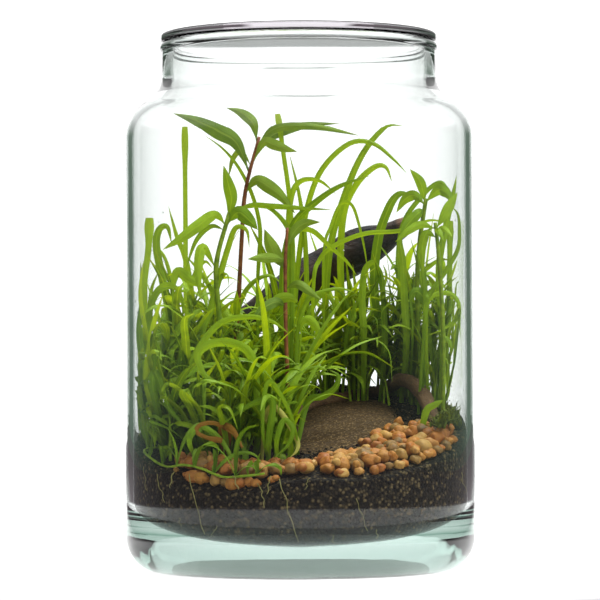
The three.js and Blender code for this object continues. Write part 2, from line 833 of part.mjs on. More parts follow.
// Leafy shoots: a stalk with leaves. A leaf starts on the stalk at its first route point.
const SHOOTS = [
  {
    name: 'red_stem_tall',
    root: [-31, 17],
    finish: 'leaf',
    radii: [1.3, 1.3, 1.2, 1.1, 1.1, 1, 0.8],
    stalk: [[-30.5, 16, 97], [-28.5, 15, 124], [-27, 14, 150], [-25, 13, 175], [-18.5, 12, 200]],
    leaves: [
      {
        half: 3.8,
        route: [[-23, 13, 183], [-29, 11, 197], [-37.5, 8, 202.5], [-48, 6, 208.5], [-58.5, 6, 213]],
      },
      {
        half: 2.4,
        route: [[-19.5, 12, 197], [-21, 12, 206], [-24, 13, 211], [-28.5, 14, 215], [-34, 15, 217.5]],
      },
      {
        half: 1.9,
        route: [[-19.5, 12, 196], [-12.5, 11, 203], [-3.5, 9, 205], [9.5, 7, 204], [27.5, 6, 200]],
      },
      {
        half: 2.2,
        route: [[-20, 12, 194], [-13.5, 14, 200], [-6, 19, 204], [5, 24, 207], [19.5, 28, 208]],
      },
      {
        half: 2.1,
        route: [[-21.5, 12.5, 188], [-16.5, 9, 197], [-11.5, 7, 196], [-6.5, 5, 194], [-1, 4, 192.5]],
      },
      { half: 1.1, route: [[-22, 12.5, 186], [-27, 16, 193.5], [-31, 19, 190], [-33, 21, 182]] },
      {
        half: 2.6,
        route: [[-25, 13, 174], [-20, 9, 179.5], [-14, 6, 176.5], [-8, 4, 171.5], [-2, 3, 164]],
      },
    ],
  },
  {
    name: 'red_stem_short',
    root: [-5, -7],
    finish: 'leaf',
    radii: [1.1, 1.1, 1, 1, 0.9, 0.9, 0.7],
    stalk: [[-6, -7, 97], [-6.5, -7, 115], [-6.5, -7, 129], [-6.5, -7, 142], [-5.5, -7, 157]],
    leaves: [
      { half: 1.9, route: [[-6.5, -7, 142], [-12, -9, 143], [-17.5, -12, 143], [-23.5, -14, 142.5]] },
      { half: 2.7, route: [[-6.5, -7, 138], [-10.5, -4, 144], [-13.5, -3, 150], [-16, -2, 156.5]] },
      { half: 1.8, route: [[-6.5, -7, 129], [-1, -10, 131], [4, -13, 128], [10, -15, 123.5]] },
      { half: 2, route: [[-6, -7, 147], [-2.5, -6, 155], [2.5, -6, 159], [9.5, -7, 159.5]] },
      { half: 2, route: [[-6.5, -7, 121], [-10.5, -10, 123], [-16.5, -13, 120], [-22, -15, 114]] },
    ],
  },
  {
    name: 'shoot_left',
    root: [-37, 0],
    finish: 'grass',
    radii: [1.4, 1.4, 1.4, 1.3, 1.2, 1.1],
    stalk: [[-36, -2, 97], [-37, -4, 119], [-38, -5, 141], [-32, -4, 164]],
    leaves: [
      {
        half: 2.3,
        route: [[-33.5, -4, 158], [-38.5, -6, 163], [-46, -9, 158], [-54, -11, 152], [-62, -12, 147]],
      },
      { half: 1, route: [[-34, -4, 156], [-40.5, -1, 158], [-47.5, 1, 151.5], [-52.5, 2, 138]] },
      { half: 2.4, route: [[-32.5, -4, 161], [-31, -5, 170], [-32.5, -6, 177.5], [-34.5, -7, 185.5]] },
      { half: 2.8, route: [[-33, -4, 159], [-28, -7, 164], [-23, -10, 160.5], [-19, -12, 156]] },
      {
        half: 1.1,
        route: [[-33, -4, 159], [-24, -3, 167], [-12.5, -3, 167], [1, -5, 166], [15, -8, 165]],
      },
      { half: 1.9, route: [[-38, -5, 138], [-44, -9, 148], [-46, -12, 138], [-45, -14, 124]] },
    ],
  },
  {
    name: 'shoot_right',
    root: [58, 27],
    finish: 'grass',
    radii: [1.3, 1.3, 1.3, 1.2, 1.2, 1.1],
    stalk: [[56, 23, 106], [55, 18, 134], [56.5, 14, 154], [59, 11, 171]],
    leaves: [
      { half: 1.9, route: [[58.5, 11.5, 169], [56.5, 10, 178], [51.5, 9, 184.5]] },
      { half: 2.3, route: [[58.5, 11.5, 169], [64.5, 6, 174.5], [68, 1, 173], [71, -3, 168]] },
      { half: 2.1, route: [[58.5, 11.5, 168], [54, 15, 172.5], [49.5, 18, 171], [45.5, 20, 165]] },
      { half: 2, route: [[58, 12, 166], [55, 7, 164], [49.5, 5, 158], [46, 4, 151]] },
    ],
  },
  {
    name: 'shoot_right_front',
    root: [66, 6],
    finish: 'grass',
    radii: [1.2, 1.2, 1.1, 1.1, 1, 0.9],
    stalk: [[66, -1, 101], [65, -5, 124], [63.5, -7, 144], [62, -8, 159]],
    leaves: [
      { half: 1.6, route: [[62.3, -7.8, 156], [55.5, -10, 158], [49.5, -12, 155], [43.5, -13, 150]] },
      { half: 1.2, route: [[62.3, -7.8, 155], [65.5, -12, 156], [69, -16, 152]] },
      { half: 2, route: [[62.3, -7.8, 156], [66.5, -7, 163], [69.5, -6, 168], [72.5, -5, 173]] },
      { half: 1.7, route: [[62.6, -7.7, 152], [58, -8, 154], [56, -8, 147], [56.5, -8, 136]] },
      { half: 1.2, route: [[62.3, -7.8, 154], [63, -13, 155], [65, -17, 150]] },
    ],
  },
];

const WITHERED = {
  root: [-33, -38],
  half: 2,
  footRadius: 1,
  footDepth: 4,
  route: [[-34.5, -45, 62], [-33, -54, 67], [-29, -61, 65], [-25, -65, 58]],
};

function runnerBody(x, y) {
  const along = [203, 211, 219, 227, 235, 243, 251, 258];
  const ring = BODY_RADIUS - WALL - RUNNER.fromGlass;
  const route = [point(x, y, groundHeight(x, y) + RUNNER.lift)];
  along.forEach((degrees) => {
    const angle = THREE.MathUtils.degToRad(degrees);
    const outX = ring * Math.cos(angle);
    const outY = ring * Math.sin(angle);
    route.push(point(outX, outY, groundHeight(outX, outY) + RUNNER.lift));
  });
  return toSolid(tube(route, route.map(() => RUNNER.radius), RUNNER.sides));
}

function tuftName(index) {
  return `grass_tuft_${String(index + 1).padStart(2, '0')}`;
}

function shootStalk(shoot) {
  const [x, y] = shoot.root;
  const ground = groundHeight(x, y);
  const above = shoot.stalk.map(([px, py, pz]) => point(px, py, pz));
  return [point(x, y, ground - STALK_DEPTH), point(x, y, ground + 1.5), ...above];
}

function placeStands(thicket) {
  const stands = TUFTS.map((tuft, index) => {
    const start = point(tuft.x, tuft.y, groundHeight(tuft.x, tuft.y) + ROOT_LIFT);
    const blades = (tuft.stands ?? []).map((spec) => facedBlade(start, spec));
    blades.forEach((blade) => thicket.add(blade.route, blade.half, index));
    return blades;
  });
  SHOOTS.forEach((shoot) => {
    const stalk = shootStalk(shoot);
    thicket.add(stalk, shoot.radii[0], shoot.name);
    shoot.leaves.forEach((leaf) => {
      const route = leaf.route.map(([x, y, z]) => point(x, y, z));
      thicket.add(route, leaf.half, shoot.name);
    });
  });
  const [x, y] = WITHERED.root;
  const fallen = [point(x, y, groundHeight(x, y)), ...WITHERED.route.map((place) => point(...place))];
  thicket.add(fallen, WITHERED.half, 'withered_leaf');
  TUFTS.forEach((tuft, index) => {
    const ground = groundHeight(tuft.x, tuft.y);
    const crown = [point(tuft.x, tuft.y, ground), point(tuft.x, tuft.y, ground + CROWN_RISE)];
    thicket.add(crown, CROWN_RADIUS, index);
  });
  return stands;
}

function growTufts() {
  const thicket = new Thicket();
  const stands = placeStands(thicket);
  const draw = randomSource(PLANT_SEED);
  TUFTS.forEach((tuft, index) => {
    const blades = [...stands[index]];
    for (let number = 0; number < tuft.blades; number += 1) {
      for (let attempt = 0; attempt < TRIES; attempt += 1) {
        const blade = grassBlade(tuft, number * GOLDEN_TURN, draw);
        if (hasRoom(thicket, blade, index)) {
          thicket.add(blade.route, blade.half, index);
          blades.push(blade);
          break;
        }
      }
    }
    const bodies = [crownBody(tuft.x, tuft.y), ...blades.map(ribbon)];
    if (tuft.runner) {
      bodies.push(runnerBody(tuft.x, tuft.y));
    }
    addPiece(tuftName(index), toGeometry(join(bodies)), 'grass');
  });
}

function addShoots() {
  SHOOTS.forEach((shoot) => {
    const stalk = toSolid(tube(shootStalk(shoot), shoot.radii, STALK_SIDES));
    const leaves = shoot.leaves.map((leaf) => {
      const [first, ...rest] = leaf.route;
      return ribbon(facedBlade(point(...first), { ...leaf, route: rest, shape: leafWidth }));
    });
    addPiece(shoot.name, toGeometry(join([stalk, ...leaves])), shoot.finish);
  });
  const [x, y] = WITHERED.root;
  const start = point(x, y, groundHeight(x, y) + ROOT_LIFT);
  const foot = [start.clone().setZ(start.z - WITHERED.footDepth), start.clone().setZ(start.z + 1)];
  const leaf = ribbon(facedBlade(start, { ...WITHERED, shape: leafWidth }));
  const body = toSolid(tube(foot, [WITHERED.footRadius, WITHERED.footRadius], STALK_SIDES)).add(leaf);
  addPiece('withered_leaf', toGeometry(body), 'withered');
}

function addGround() {
  let soil = soilFill();
  [BRANCH, ARCH].forEach((wood) => {
    soil = soil.subtract(toSolid(woodBody(wood, HOLE_EASE)));
  });
  TUFTS.forEach((tuft) => {
    soil = soil.subtract(plantHole(tuft.x, tuft.y, CROWN_RADIUS + HOLE_EASE, CROWN_DEPTH));
  });
  SHOOTS.forEach((shoot) => {
    soil = soil.subtract(plantHole(...shoot.root, shoot.radii[0] + HOLE_EASE, STALK_DEPTH));
  });
  soil = soil.subtract(plantHole(...WITHERED.root, WITHERED.footRadius + HOLE_EASE, WITHERED.footDepth));
  addPiece('soil', toGeometry(soil), 'soil');
  addPiece('sand_patch', sandPatch(), 'sand');
  addPiece('driftwood_branch', woodBody(BRANCH, 0), 'driftwood');
  addPiece('arched_root', woodBody(ARCH, 0), 'root');
}

addGlass();
addGround();
addGravel();
addShoots();
growTufts();

export default terrarium;
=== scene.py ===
"""Glass plant terrarium: the finer pieces, finishes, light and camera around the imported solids."""

import json
import logging
import math
from collections.abc import Callable, Iterable, Sequence
from dataclasses import dataclass, field
from enum import Enum
from itertools import product

import bmesh
import bpy
import numpy as np
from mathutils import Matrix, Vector, noise

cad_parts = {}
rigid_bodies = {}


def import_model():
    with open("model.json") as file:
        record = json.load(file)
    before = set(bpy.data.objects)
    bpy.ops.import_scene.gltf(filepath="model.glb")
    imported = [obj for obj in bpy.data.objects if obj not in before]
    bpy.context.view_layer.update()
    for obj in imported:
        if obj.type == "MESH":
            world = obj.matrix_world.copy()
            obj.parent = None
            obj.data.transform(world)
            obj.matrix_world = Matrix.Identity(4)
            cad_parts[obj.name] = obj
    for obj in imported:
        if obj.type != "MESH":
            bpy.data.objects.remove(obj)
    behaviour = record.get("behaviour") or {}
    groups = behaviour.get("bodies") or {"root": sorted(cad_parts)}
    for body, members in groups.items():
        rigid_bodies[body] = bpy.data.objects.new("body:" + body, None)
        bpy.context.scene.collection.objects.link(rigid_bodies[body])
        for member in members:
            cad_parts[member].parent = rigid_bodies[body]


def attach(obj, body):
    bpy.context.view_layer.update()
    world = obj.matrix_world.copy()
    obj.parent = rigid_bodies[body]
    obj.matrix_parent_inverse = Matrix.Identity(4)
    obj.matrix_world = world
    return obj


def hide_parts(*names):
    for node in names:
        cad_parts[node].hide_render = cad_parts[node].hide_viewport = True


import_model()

LOG = logging.getLogger("terrarium")
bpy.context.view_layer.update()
MM = 0.001
BODY = "root"
FULL_TURN = 2 * math.pi
WHITE = (1, 1, 1, 1)
WORD = 0xFFFFFFFF
STATE_STEP = 0x6D2B79F5

Point = tuple[float, float, float]
Colour = tuple[float, float, float, float]
Outline = list[tuple[float, float]]
Material = bpy.types.Material
Node = bpy.types.Node
Socket = bpy.types.NodeSocket

# Inside of the jar, in millimetres
BODY_RADIUS = 80.0
WALL = 3.4
INSIDE = BODY_RADIUS - WALL
BASE_THICKNESS = 5.6
INNER_CORNER = 27.0
SHOULDER_START = 192.0
SHOULDER_LEAN = 0.45

# Ground
GAP = 0.3
SOIL_RADIUS = INSIDE - GAP
SOIL_FLOOR = BASE_THICKNESS + GAP
SOIL_CORNER = INNER_CORNER - GAP
GROUND_CENTRE = 64.0
GROUND_SLOPE_BACK = 0.26
GROUND_SLOPE_RIGHT = 0.054
SAND_CENTRE = (24.0, 2.0)
SAND_REACH = (23.0, 35.0)
SAND_DOME = 3.6
SAND_EDGE = 0.9
GRAVEL_SEED = 41
GRAVEL_OUTER_ROW = 68.2
GRAVEL_ROW_STEP = 5.8
PEBBLE_SPACING = 6.9
PEBBLE_RADIUS = 3.9
PEBBLE_SPREAD = 0.5
PEBBLE_STRAY = 0.7
STRETCH_END = 0.8

# Plants
PLANT_SEED = 2028
GRASS_SPANS = 5
CROWN_RADIUS = 3.2
CROWN_DEPTH = 5.0
CROWN_RISE = 3.0
ROOT_RING = 1.9
ROOT_LIFT = 0.4
COVER_LIFT = 0.5
STALK_DEPTH = 6.0
STALK_RISE = 1.5
TRIES = 30
BLADE_CLEARANCE = 0.7
GLASS_CLEARANCE = 2.8
SAMPLE_STEP = 2.0
CELL = 6.5
GOLDEN_TURN = 2.39996
LARGEST_LUMP = 1.14
SPARE_SAND = (2.0, 12.0, 80.0)
LEAF_LIFT = 1.5
LEAF_CLEARANCE = 1.2


class Layer(Enum):
    """Which of a piece's two materials a face takes."""

    MAIN = 0
    SECOND = 1


@dataclass(frozen=True)
class Spread:
    """A range that random values are drawn from."""

    least: float
    spread: float
    power: float = 1.0


@dataclass(frozen=True)
class Habit:
    """How a kind of blade grows."""

    heading: Spread
    lean: Spread
    curl: Spread
    swerve: Spread
    length: Spread
    half: Spread
    twist: Spread


ARCHING = Habit(
    Spread(-0.65, 1.3), Spread(0.04, 0.5), Spread(0.3, 2.1, 1.6), Spread(-0.9, 1.8),
    Spread(0.5, 0.72), Spread(1.0, 0.55), Spread(-0.8, 1.6),
)
CURLY = Habit(
    Spread(-3.1, 6.2), Spread(0.02, 0.75), Spread(0.8, 3.3, 1.2), Spread(-2.0, 4.0),
    Spread(0.38, 0.62), Spread(1.0, 0.85), Spread(-2.4, 4.8),
)
UPRIGHT = Habit(
    Spread(-3.1, 6.2), Spread(0.0, 0.3), Spread(0.2, 3.0, 2.2), Spread(-1.5, 3.0),
    Spread(0.55, 0.65), Spread(0.8, 0.8), Spread(-1.6, 3.2),
)
STEM = Habit(
    Spread(-3.1, 6.2), Spread(0.0, 0.16), Spread(-0.2, 0.6), Spread(-0.8, 1.6),
    Spread(0.9, 0.15), Spread(0.55, 0.35), Spread(0.0, 0.0),
)
LEAFLET = Habit(
    Spread(-0.4, 0.8), Spread(0.2, 0.8), Spread(0.4, 2.6, 1.2), Spread(-0.8, 1.6),
    Spread(14.0, 21.0), Spread(1.1, 1.0), Spread(-1.0, 2.0),
)
MOSS = Habit(
    Spread(-1.5, 3.0), Spread(0.0, 0.9), Spread(0.2, 1.6), Spread(-0.8, 1.6),
    Spread(2.0, 5.0), Spread(0.3, 0.3), Spread(-1.0, 2.0),
)
MOSS_STRETCHES = ((-30, 66, 240), (150, 36, 90))
PEBBLE_LIFT = Spread(0.25, 0.5)
SOLID_PEBBLE_DRAWS = 2


@dataclass
class RandomSource:
    """A small seeded generator, the same as the one that placed the solids' plants."""

    state: int

    @staticmethod
    def _multiply(left: int, right: int) -> int:
        """Multiplies two numbers and keeps the low 32 bits."""
        return (left * right) & WORD

    def draw(self) -> float:
        """Gives the next value.

        Returns:
            A number from 0 up to 1.
        """
        self.state = (self.state + STATE_STEP) & WORD
        mixed = self._multiply(self.state ^ (self.state >> 15), 1 | self.state)
        mixed = ((mixed + self._multiply(mixed ^ (mixed >> 7), 61 | mixed)) & WORD) ^ mixed
        return (mixed ^ (mixed >> 14)) / (WORD + 1)

    def bearing(self) -> float:
        """Draws an angle of a full turn."""
        return self.draw() * FULL_TURN

    def skip(self, count: int) -> None:
        """Passes over values that only the solids use."""
        for _ in range(count):
            self.draw()

    def within(self, span: Spread) -> float:
        """Draws a value from a range."""
        return span.least + span.spread * self.draw() ** span.power


def ground_height(x: float, y: float) -> float:
    """Height of the sloping ground."""
    return GROUND_CENTRE + GROUND_SLOPE_BACK * y + GROUND_SLOPE_RIGHT * x


def on_ground(x: float, y: float, lift: float = 0.0) -> Point:
    """The place at a height above the sloping ground."""
    return (x, y, ground_height(x, y) + lift)


def on_ring(radius: float, angle: float) -> tuple[float, float]:
    """The place at an angle, in radians, on a ring about the jar's axis."""
    return radius * math.cos(angle), radius * math.sin(angle)


def bearing_of(x: float, y: float) -> float:
    """The angle of a place about the jar's axis, 0 to 360 degrees."""
    return (math.degrees(math.atan2(y, x)) + 360) % 360


def distance(first: Sequence[float], second: Sequence[float]) -> float:
    """Distance between two points."""
    return math.sqrt(sum((a - b) ** 2 for a, b in zip(first, second)))


@dataclass(frozen=True)
class Wood:
    """A length of wood: its centre line and its radius at each station."""

    route: tuple[Point, ...]
    radii: tuple[float, ...]
    sides: int


BRANCH = Wood(
    route=(
        (-47, 45, 64), (-45, 46, 84), (-36, 49, 105), (-22, 52, 117), (-8, 55, 127),
        (8, 56, 137), (18.5, 56, 143.5), (29, 54.5, 149), (40.5, 51, 154), (47, 48, 158),
        (52, 45, 161),
    ),
    radii=(6.4, 6.8, 7.4, 8.2, 9, 9.6, 10, 9.4, 7.4, 5.4, 3.6),
    sides=8,
)
ARCH_RADII = (1.9, 2.3, 2.2, 2.3, 2.6, 3, 3.5, 3.6, 3.4, 3.2, 3, 2.9, 2.6)
ARCH_LYING = ((-3, 19), (5, 32), (13.5, 40), (25, 45.5), (37, 47.5))
ARCH = Wood(
    route=tuple(
        (x, y, ground_height(x, y) + LARGEST_LUMP * radius + GAP)
        for (x, y), radius in zip(ARCH_LYING, ARCH_RADII)
    )
    + (
        (44.5, 40, 85), (47.3, 32, 87), (52.4, 23, 85.6), (56.9, 13, 80.4),
        (59.7, 4, 74), (61.6, -6, 66.9), (62.1, -13, 61.7), (62.3, -18, 54),
    ),
    radii=ARCH_RADII,
    sides=7,
)


def wood_lump(station: float, side: float) -> float:
    """Knots and hollows along the wood, as on the solids."""
    return 1 + 0.09 * math.sin(station * 2.3 + side * 1.7) + 0.05 * math.cos(side * 2.9 - station)


def distance_to_span(position: Sequence[float], start: Point, end: Point) -> float:
    """Distance from a point to a straight span.

    Args:
        position: The point.
        start: One end of the span.
        end: The other end.

    Returns:
        The distance.
    """
    span = [b - a for a, b in zip(start, end)]
    offset = [p - a for p, a in zip(position, start)]
    along = sum(o * s for o, s in zip(offset, span)) / sum(s * s for s in span)
    along = min(1.0, max(0.0, along))
    return math.sqrt(sum((o - s * along) ** 2 for o, s in zip(offset, span)))


def clear_of_wood(position: Sequence[float], reach: float) -> bool:
    """Whether a ball stays clear of the driftwood and the root.

    Args:
        position: The ball's centre.
        reach: Its radius.

    Returns:
        True if it does.
    """
    for wood in (BRANCH, ARCH):
        for span in range(len(wood.route) - 1):
            radius = LARGEST_LUMP * max(wood.radii[span], wood.radii[span + 1])
            if distance_to_span(position, wood.route[span], wood.route[span + 1]) <= radius + reach:
                return False
    return True


# Gravel, pebble by pebble as in the solids


@dataclass(frozen=True)
class Stretch:
    """One stretch of the gravel band."""

    name: str
    start: float
    end: float
    rows: int


GRAVEL = (
    Stretch("gravel_left", 216, 246, 2),
    Stretch("gravel_front_left", 246, 276, 2),
    Stretch("gravel_front_right", 276, 306, 3),
    Stretch("gravel_right", 306, 346, 2),
)


@dataclass(frozen=True)
class Pebble:
    """A pebble's place and size."""

    centre: Point
    radius: float


def pebbles_of(stretch: Stretch, source: RandomSource) -> list[Pebble]:
    """Places one stretch's pebbles.

    Args:
        stretch: The stretch.
        source: The gravel's random source.

    Returns:
        Its pebbles, those that would meet wood left out.
    """
    found = []
    start = math.radians(stretch.start)
    turn = math.radians(stretch.end - stretch.start)
    for row in range(stretch.rows):
        ring = GRAVEL_OUTER_ROW - row * GRAVEL_ROW_STEP
        arc_length = turn * ring - 2 * (PEBBLE_RADIUS + STRETCH_END)
        count = math.ceil(arc_length / PEBBLE_SPACING)
        for spot in range(count + 1):
            along = PEBBLE_RADIUS + STRETCH_END + (spot / count) * arc_length
            angle = start + along / ring
            radius = PEBBLE_RADIUS + PEBBLE_SPREAD * source.draw()
            out = ring + PEBBLE_STRAY * (source.draw() - 0.5)
            x, y = on_ring(out, angle)
            lift = radius * source.within(PEBBLE_LIFT)
            source.skip(SOLID_PEBBLE_DRAWS)
            centre = (x, y, ground_height(x, y) + lift)
            if clear_of_wood(centre, radius + GAP):
                found.append(Pebble(centre, radius))
    return found


# Blades


def grass_width(along: float) -> float:
    """Width of a grass blade, as a share of its widest."""
    return min(1.0, 0.6 + 1.4 * along) * (1 - along**5)


def leaf_width(along: float) -> float:
    """Width of a leaf, as a share of its widest."""
    return 0.2 + 0.8 * math.sin(math.pi * along**0.8)


def fine_leaf_width(along: float) -> float:
    """Width of a leaf with a stalk and a drawn-out tip."""
    body = math.sin(math.pi * min(1.0, max(0.0, (along - 0.06) / 0.94)) ** 0.85)
    return max(0.13 * (1 - along), body**0.9 if body > 0 else 0.0)


def paddle_width(along: float) -> float:
    """Width of a broad leaf at the end of a long thin stalk."""
    return 0.2 + 0.8 * math.sin(math.pi * max(0.0, (along - 0.4) / 0.6) ** 0.9)


def stem_width(along: float) -> float:
    """Width of a cut blade, which ends blunt."""
    return 0.85 - 0.15 * along + 0.4 * math.exp(-(((along - 0.94) / 0.06) ** 2))


@dataclass
class Blade:
    """A blade or leaf: its route, half width, turn and outline."""

    route: list[Point]
    half: float
    twist: float = 0.0
    side: Point = (1.0, 0.0, 0.0)
    faced: bool = False
    blunt: bool = False
    shape: Callable[[float], float] = grass_width
    tone: float | None = None


@dataclass(frozen=True)
class Stand:
    """A blade that stands out, with a route of its own above its crown."""

    half: float
    route: tuple[Point, ...]
    blunt: bool = False


@dataclass(frozen=True)
class Tuft:
    """A grass crown's place, usual blade length and blades."""

    x: float
    y: float
    tall: float
    blades: int
    stands: tuple[Stand, ...] = ()
    runner: bool = False


TUFTS = (
    Tuft(-60, -20, 68, 9, runner=True),
    Tuft(-43, -31, 62, 9),
    Tuft(-27, -43, 56, 8),
    Tuft(-9, -42, 58, 8),
    Tuft(-64, 4, 80, 8, (
        Stand(1.9, ((-68.5, 2, 85), (-71, 0, 110), (-71.5, -2, 131), (-69.5, -2, 147), (-69, -1, 162)), True),
    )),
    Tuft(-48, -12, 74, 9),
    Tuft(-31, -22, 72, 9),
    Tuft(-14, -22, 74, 9),
    Tuft(-55, 15, 80, 8, (
        Stand(1.8, ((-58.5, 9, 87.5), (-59, 8, 110), (-63, 8, 131), (-66.5, 8, 149), (-65, 7, 157),
                    (-61, 6, 158), (-59, 5, 150))),
    )),
    Tuft(-51, 33, 84, 8, (
        Stand(1.4, ((-49, 28, 101), (-50.5, 25, 124), (-53.5, 22, 144), (-57.5, 21, 154), (-61.5, 20, 168.5))),
        Stand(1.4, ((-53, 34, 106), (-54, 33, 129), (-54, 32, 152), (-54, 30, 180), (-54, 28, 207)), True),
    )),
    Tuft(-33, 30, 84, 9),
    Tuft(-16, 4, 78, 9),
    Tuft(-8, 24, 84, 7, (
        Stand(1.3, ((-4, 22, 110), (-3, 19, 143), (-4.5, 17, 171), (-7.5, 16, 194), (-10, 15, 213)), True),
        Stand(1.6, ((-7.5, 12, 110), (-7.5, 6, 138), (-3, 2, 158), (6.5, -2, 168), (18.5, -4, 176),
                    (32, -6, 180.5))),
    )),
    Tuft(-22, 40, 80, 8),
    Tuft(-5, 42, 82, 8, (
        Stand(1.2, ((-3, 38, 111), (-0.5, 34, 143), (4, 30, 169), (11, 27, 186), (23.5, 25, 197.5),
                    (34.5, 23, 197.5), (44, 20, 190), (50.5, 18, 183))),
        Stand(1.1, ((2.5, 36, 111), (3, 32, 146), (0.5, 30, 171), (-4.5, 28, 193))),
    )),
    Tuft(13, 50, 80, 10, (
        Stand(1.5, ((12, 42, 111), (14, 36, 146), (20.5, 31, 171), (30, 28, 193), (41.5, 27, 206),
                    (49, 26, 206.5))),
    )),
    Tuft(28, 57, 78, 10, (
        Stand(1.5, ((22, 48, 111), (19.5, 41, 139), (21, 38, 165), (27, 36, 179), (35.5, 35, 187),
                    (41, 34, 187), (44, 33, 180))),
    )),
    Tuft(45, 53, 82, 10, (
        Stand(2.0, ((36, 42, 125), (37, 37, 151), (42, 33, 167), (47, 31, 174), (53, 30, 174))),
    )),
    Tuft(55, 36, 78, 8, (
        Stand(1.1, ((50, 34, 111), (46.5, 30, 139), (49, 26, 160), (58, 23, 173), (66, 21, 179),
                    (70, 18, 175), (71, 15, 167))),
    )),
    Tuft(65, 19, 76, 7, (
        Stand(1.5, ((66.5, 16, 110), (65, 12, 138), (68.5, 9, 159), (71.5, 5, 172), (73, 2, 181))),
        Stand(1.7, ((70, 19, 110), (71, 20, 134), (71.5, 19, 161)), True),
    )),
    Tuft(-38, 12, 76, 6),
)


@dataclass(frozen=True)
class Leaf:
    """A leaf on a shoot, from its first point on the stalk."""

    half: float
    route: tuple[Point, ...]


@dataclass(frozen=True)
class Shoot:
    """A leafy shoot: where it is rooted, its stalk and its leaves."""

    name: str
    root: tuple[float, float]
    radii: tuple[float, ...]
    stalk: tuple[Point, ...]
    leaves: tuple[Leaf, ...]
    slot: str = "grass"


SHOOTS = (
    Shoot(
        "red_stem_tall", (-31, 17), (1.3, 1.3, 1.2, 1.1, 1.1, 1, 0.8),
        ((-30.5, 16, 97), (-28.5, 15, 124), (-27, 14, 150), (-25, 13, 175), (-18.5, 12, 200)),
        (
            Leaf(3.8, ((-23, 13, 183), (-29, 11, 197), (-37.5, 8, 202.5), (-48, 6, 208.5), (-58.5, 6, 213))),
            Leaf(2.4, ((-19.5, 12, 197), (-21, 12, 206), (-24, 13, 211), (-28.5, 14, 215), (-34, 15, 217.5))),
            Leaf(1.9, ((-19.5, 12, 196), (-12.5, 11, 203), (-3.5, 9, 205), (9.5, 7, 204), (27.5, 6, 200))),
            Leaf(2.2, ((-20, 12, 194), (-13.5, 14, 200), (-6, 19, 204), (5, 24, 207), (19.5, 28, 208))),
            Leaf(2.1, ((-21.5, 12.5, 188), (-16.5, 9, 197), (-11.5, 7, 196), (-6.5, 5, 194), (-1, 4, 192.5))),
            Leaf(1.1, ((-22, 12.5, 186), (-27, 16, 193.5), (-31, 19, 190), (-33, 21, 182))),
            Leaf(2.6, ((-25, 13, 174), (-20, 9, 179.5), (-14, 6, 176.5), (-8, 4, 171.5), (-2, 3, 164))),
        ),
        "leaf",
    ),
    Shoot(
        "red_stem_short", (-5, -7), (1.1, 1.1, 1, 1, 0.9, 0.9, 0.7),
        ((-6, -7, 97), (-6.5, -7, 115), (-6.5, -7, 129), (-6.5, -7, 142), (-5.5, -7, 157)),
        (
            Leaf(1.9, ((-6.5, -7, 142), (-12, -9, 143), (-17.5, -12, 143), (-23.5, -14, 142.5))),
            Leaf(2.7, ((-6.5, -7, 138), (-10.5, -4, 144), (-13.5, -3, 150), (-16, -2, 156.5))),
            Leaf(1.8, ((-6.5, -7, 129), (-1, -10, 131), (4, -13, 128), (10, -15, 123.5))),
            Leaf(2.0, ((-6, -7, 147), (-2.5, -6, 155), (2.5, -6, 159), (9.5, -7, 159.5))),
            Leaf(2.0, ((-6.5, -7, 121), (-10.5, -10, 123), (-16.5, -13, 120), (-22, -15, 114))),
        ),
        "leaf",
    ),
    Shoot(
        "shoot_left", (-37, 0), (1.4, 1.4, 1.4, 1.3, 1.2, 1.1),
        ((-36, -2, 97), (-37, -4, 119), (-38, -5, 141), (-32, -4, 164)),
        (
            Leaf(2.3, ((-33.5, -4, 158), (-38.5, -6, 163), (-46, -9, 158), (-54, -11, 152), (-62, -12, 147))),
            Leaf(1.0, ((-34, -4, 156), (-40.5, -1, 158), (-47.5, 1, 151.5), (-52.5, 2, 138))),
            Leaf(2.4, ((-32.5, -4, 161), (-31, -5, 170), (-32.5, -6, 177.5), (-34.5, -7, 185.5))),
            Leaf(2.8, ((-33, -4, 159), (-28, -7, 164), (-23, -10, 160.5), (-19, -12, 156))),
            Leaf(1.1, ((-33, -4, 159), (-24, -3, 167), (-12.5, -3, 167), (1, -5, 166), (15, -8, 165))),
            Leaf(1.9, ((-38, -5, 138), (-44, -9, 148), (-46, -12, 138), (-45, -14, 124))),
        ),
    ),
    Shoot(
        "shoot_right", (58, 27), (1.3, 1.3, 1.3, 1.2, 1.2, 1.1),
        ((56, 23, 106), (55, 18, 134), (56.5, 14, 154), (59, 11, 171)),
        (
            Leaf(1.9, ((58.5, 11.5, 169), (56.5, 10, 178), (51.5, 9, 184.5))),
            Leaf(2.3, ((58.5, 11.5, 169), (64.5, 6, 174.5), (68, 1, 173), (71, -3, 168))),
            Leaf(2.1, ((58.5, 11.5, 168), (54, 15, 172.5), (49.5, 18, 171), (45.5, 20, 165))),
            Leaf(2.0, ((58, 12, 166), (55, 7, 164), (49.5, 5, 158), (46, 4, 151))),
        ),
    ),
    Shoot(
        "shoot_right_front", (66, 6), (1.2, 1.2, 1.1, 1.1, 1, 0.9),
        ((66, -1, 101), (65, -5, 124), (63.5, -7, 144), (62, -8, 159)),
        (
            Leaf(1.6, ((62.3, -7.8, 156), (55.5, -10, 158), (49.5, -12, 155), (43.5, -13, 150))),
            Leaf(1.2, ((62.3, -7.8, 155), (65.5, -12, 156), (69, -16, 152))),
            Leaf(2.0, ((62.3, -7.8, 156), (66.5, -7, 163), (69.5, -6, 168), (72.5, -5, 173))),
            Leaf(1.7, ((62.6, -7.7, 152), (58, -8, 154), (56, -8, 147), (56.5, -8, 136))),
            Leaf(1.2, ((62.3, -7.8, 154), (63, -13, 155), (65, -17, 150))),
        ),
    ),
)


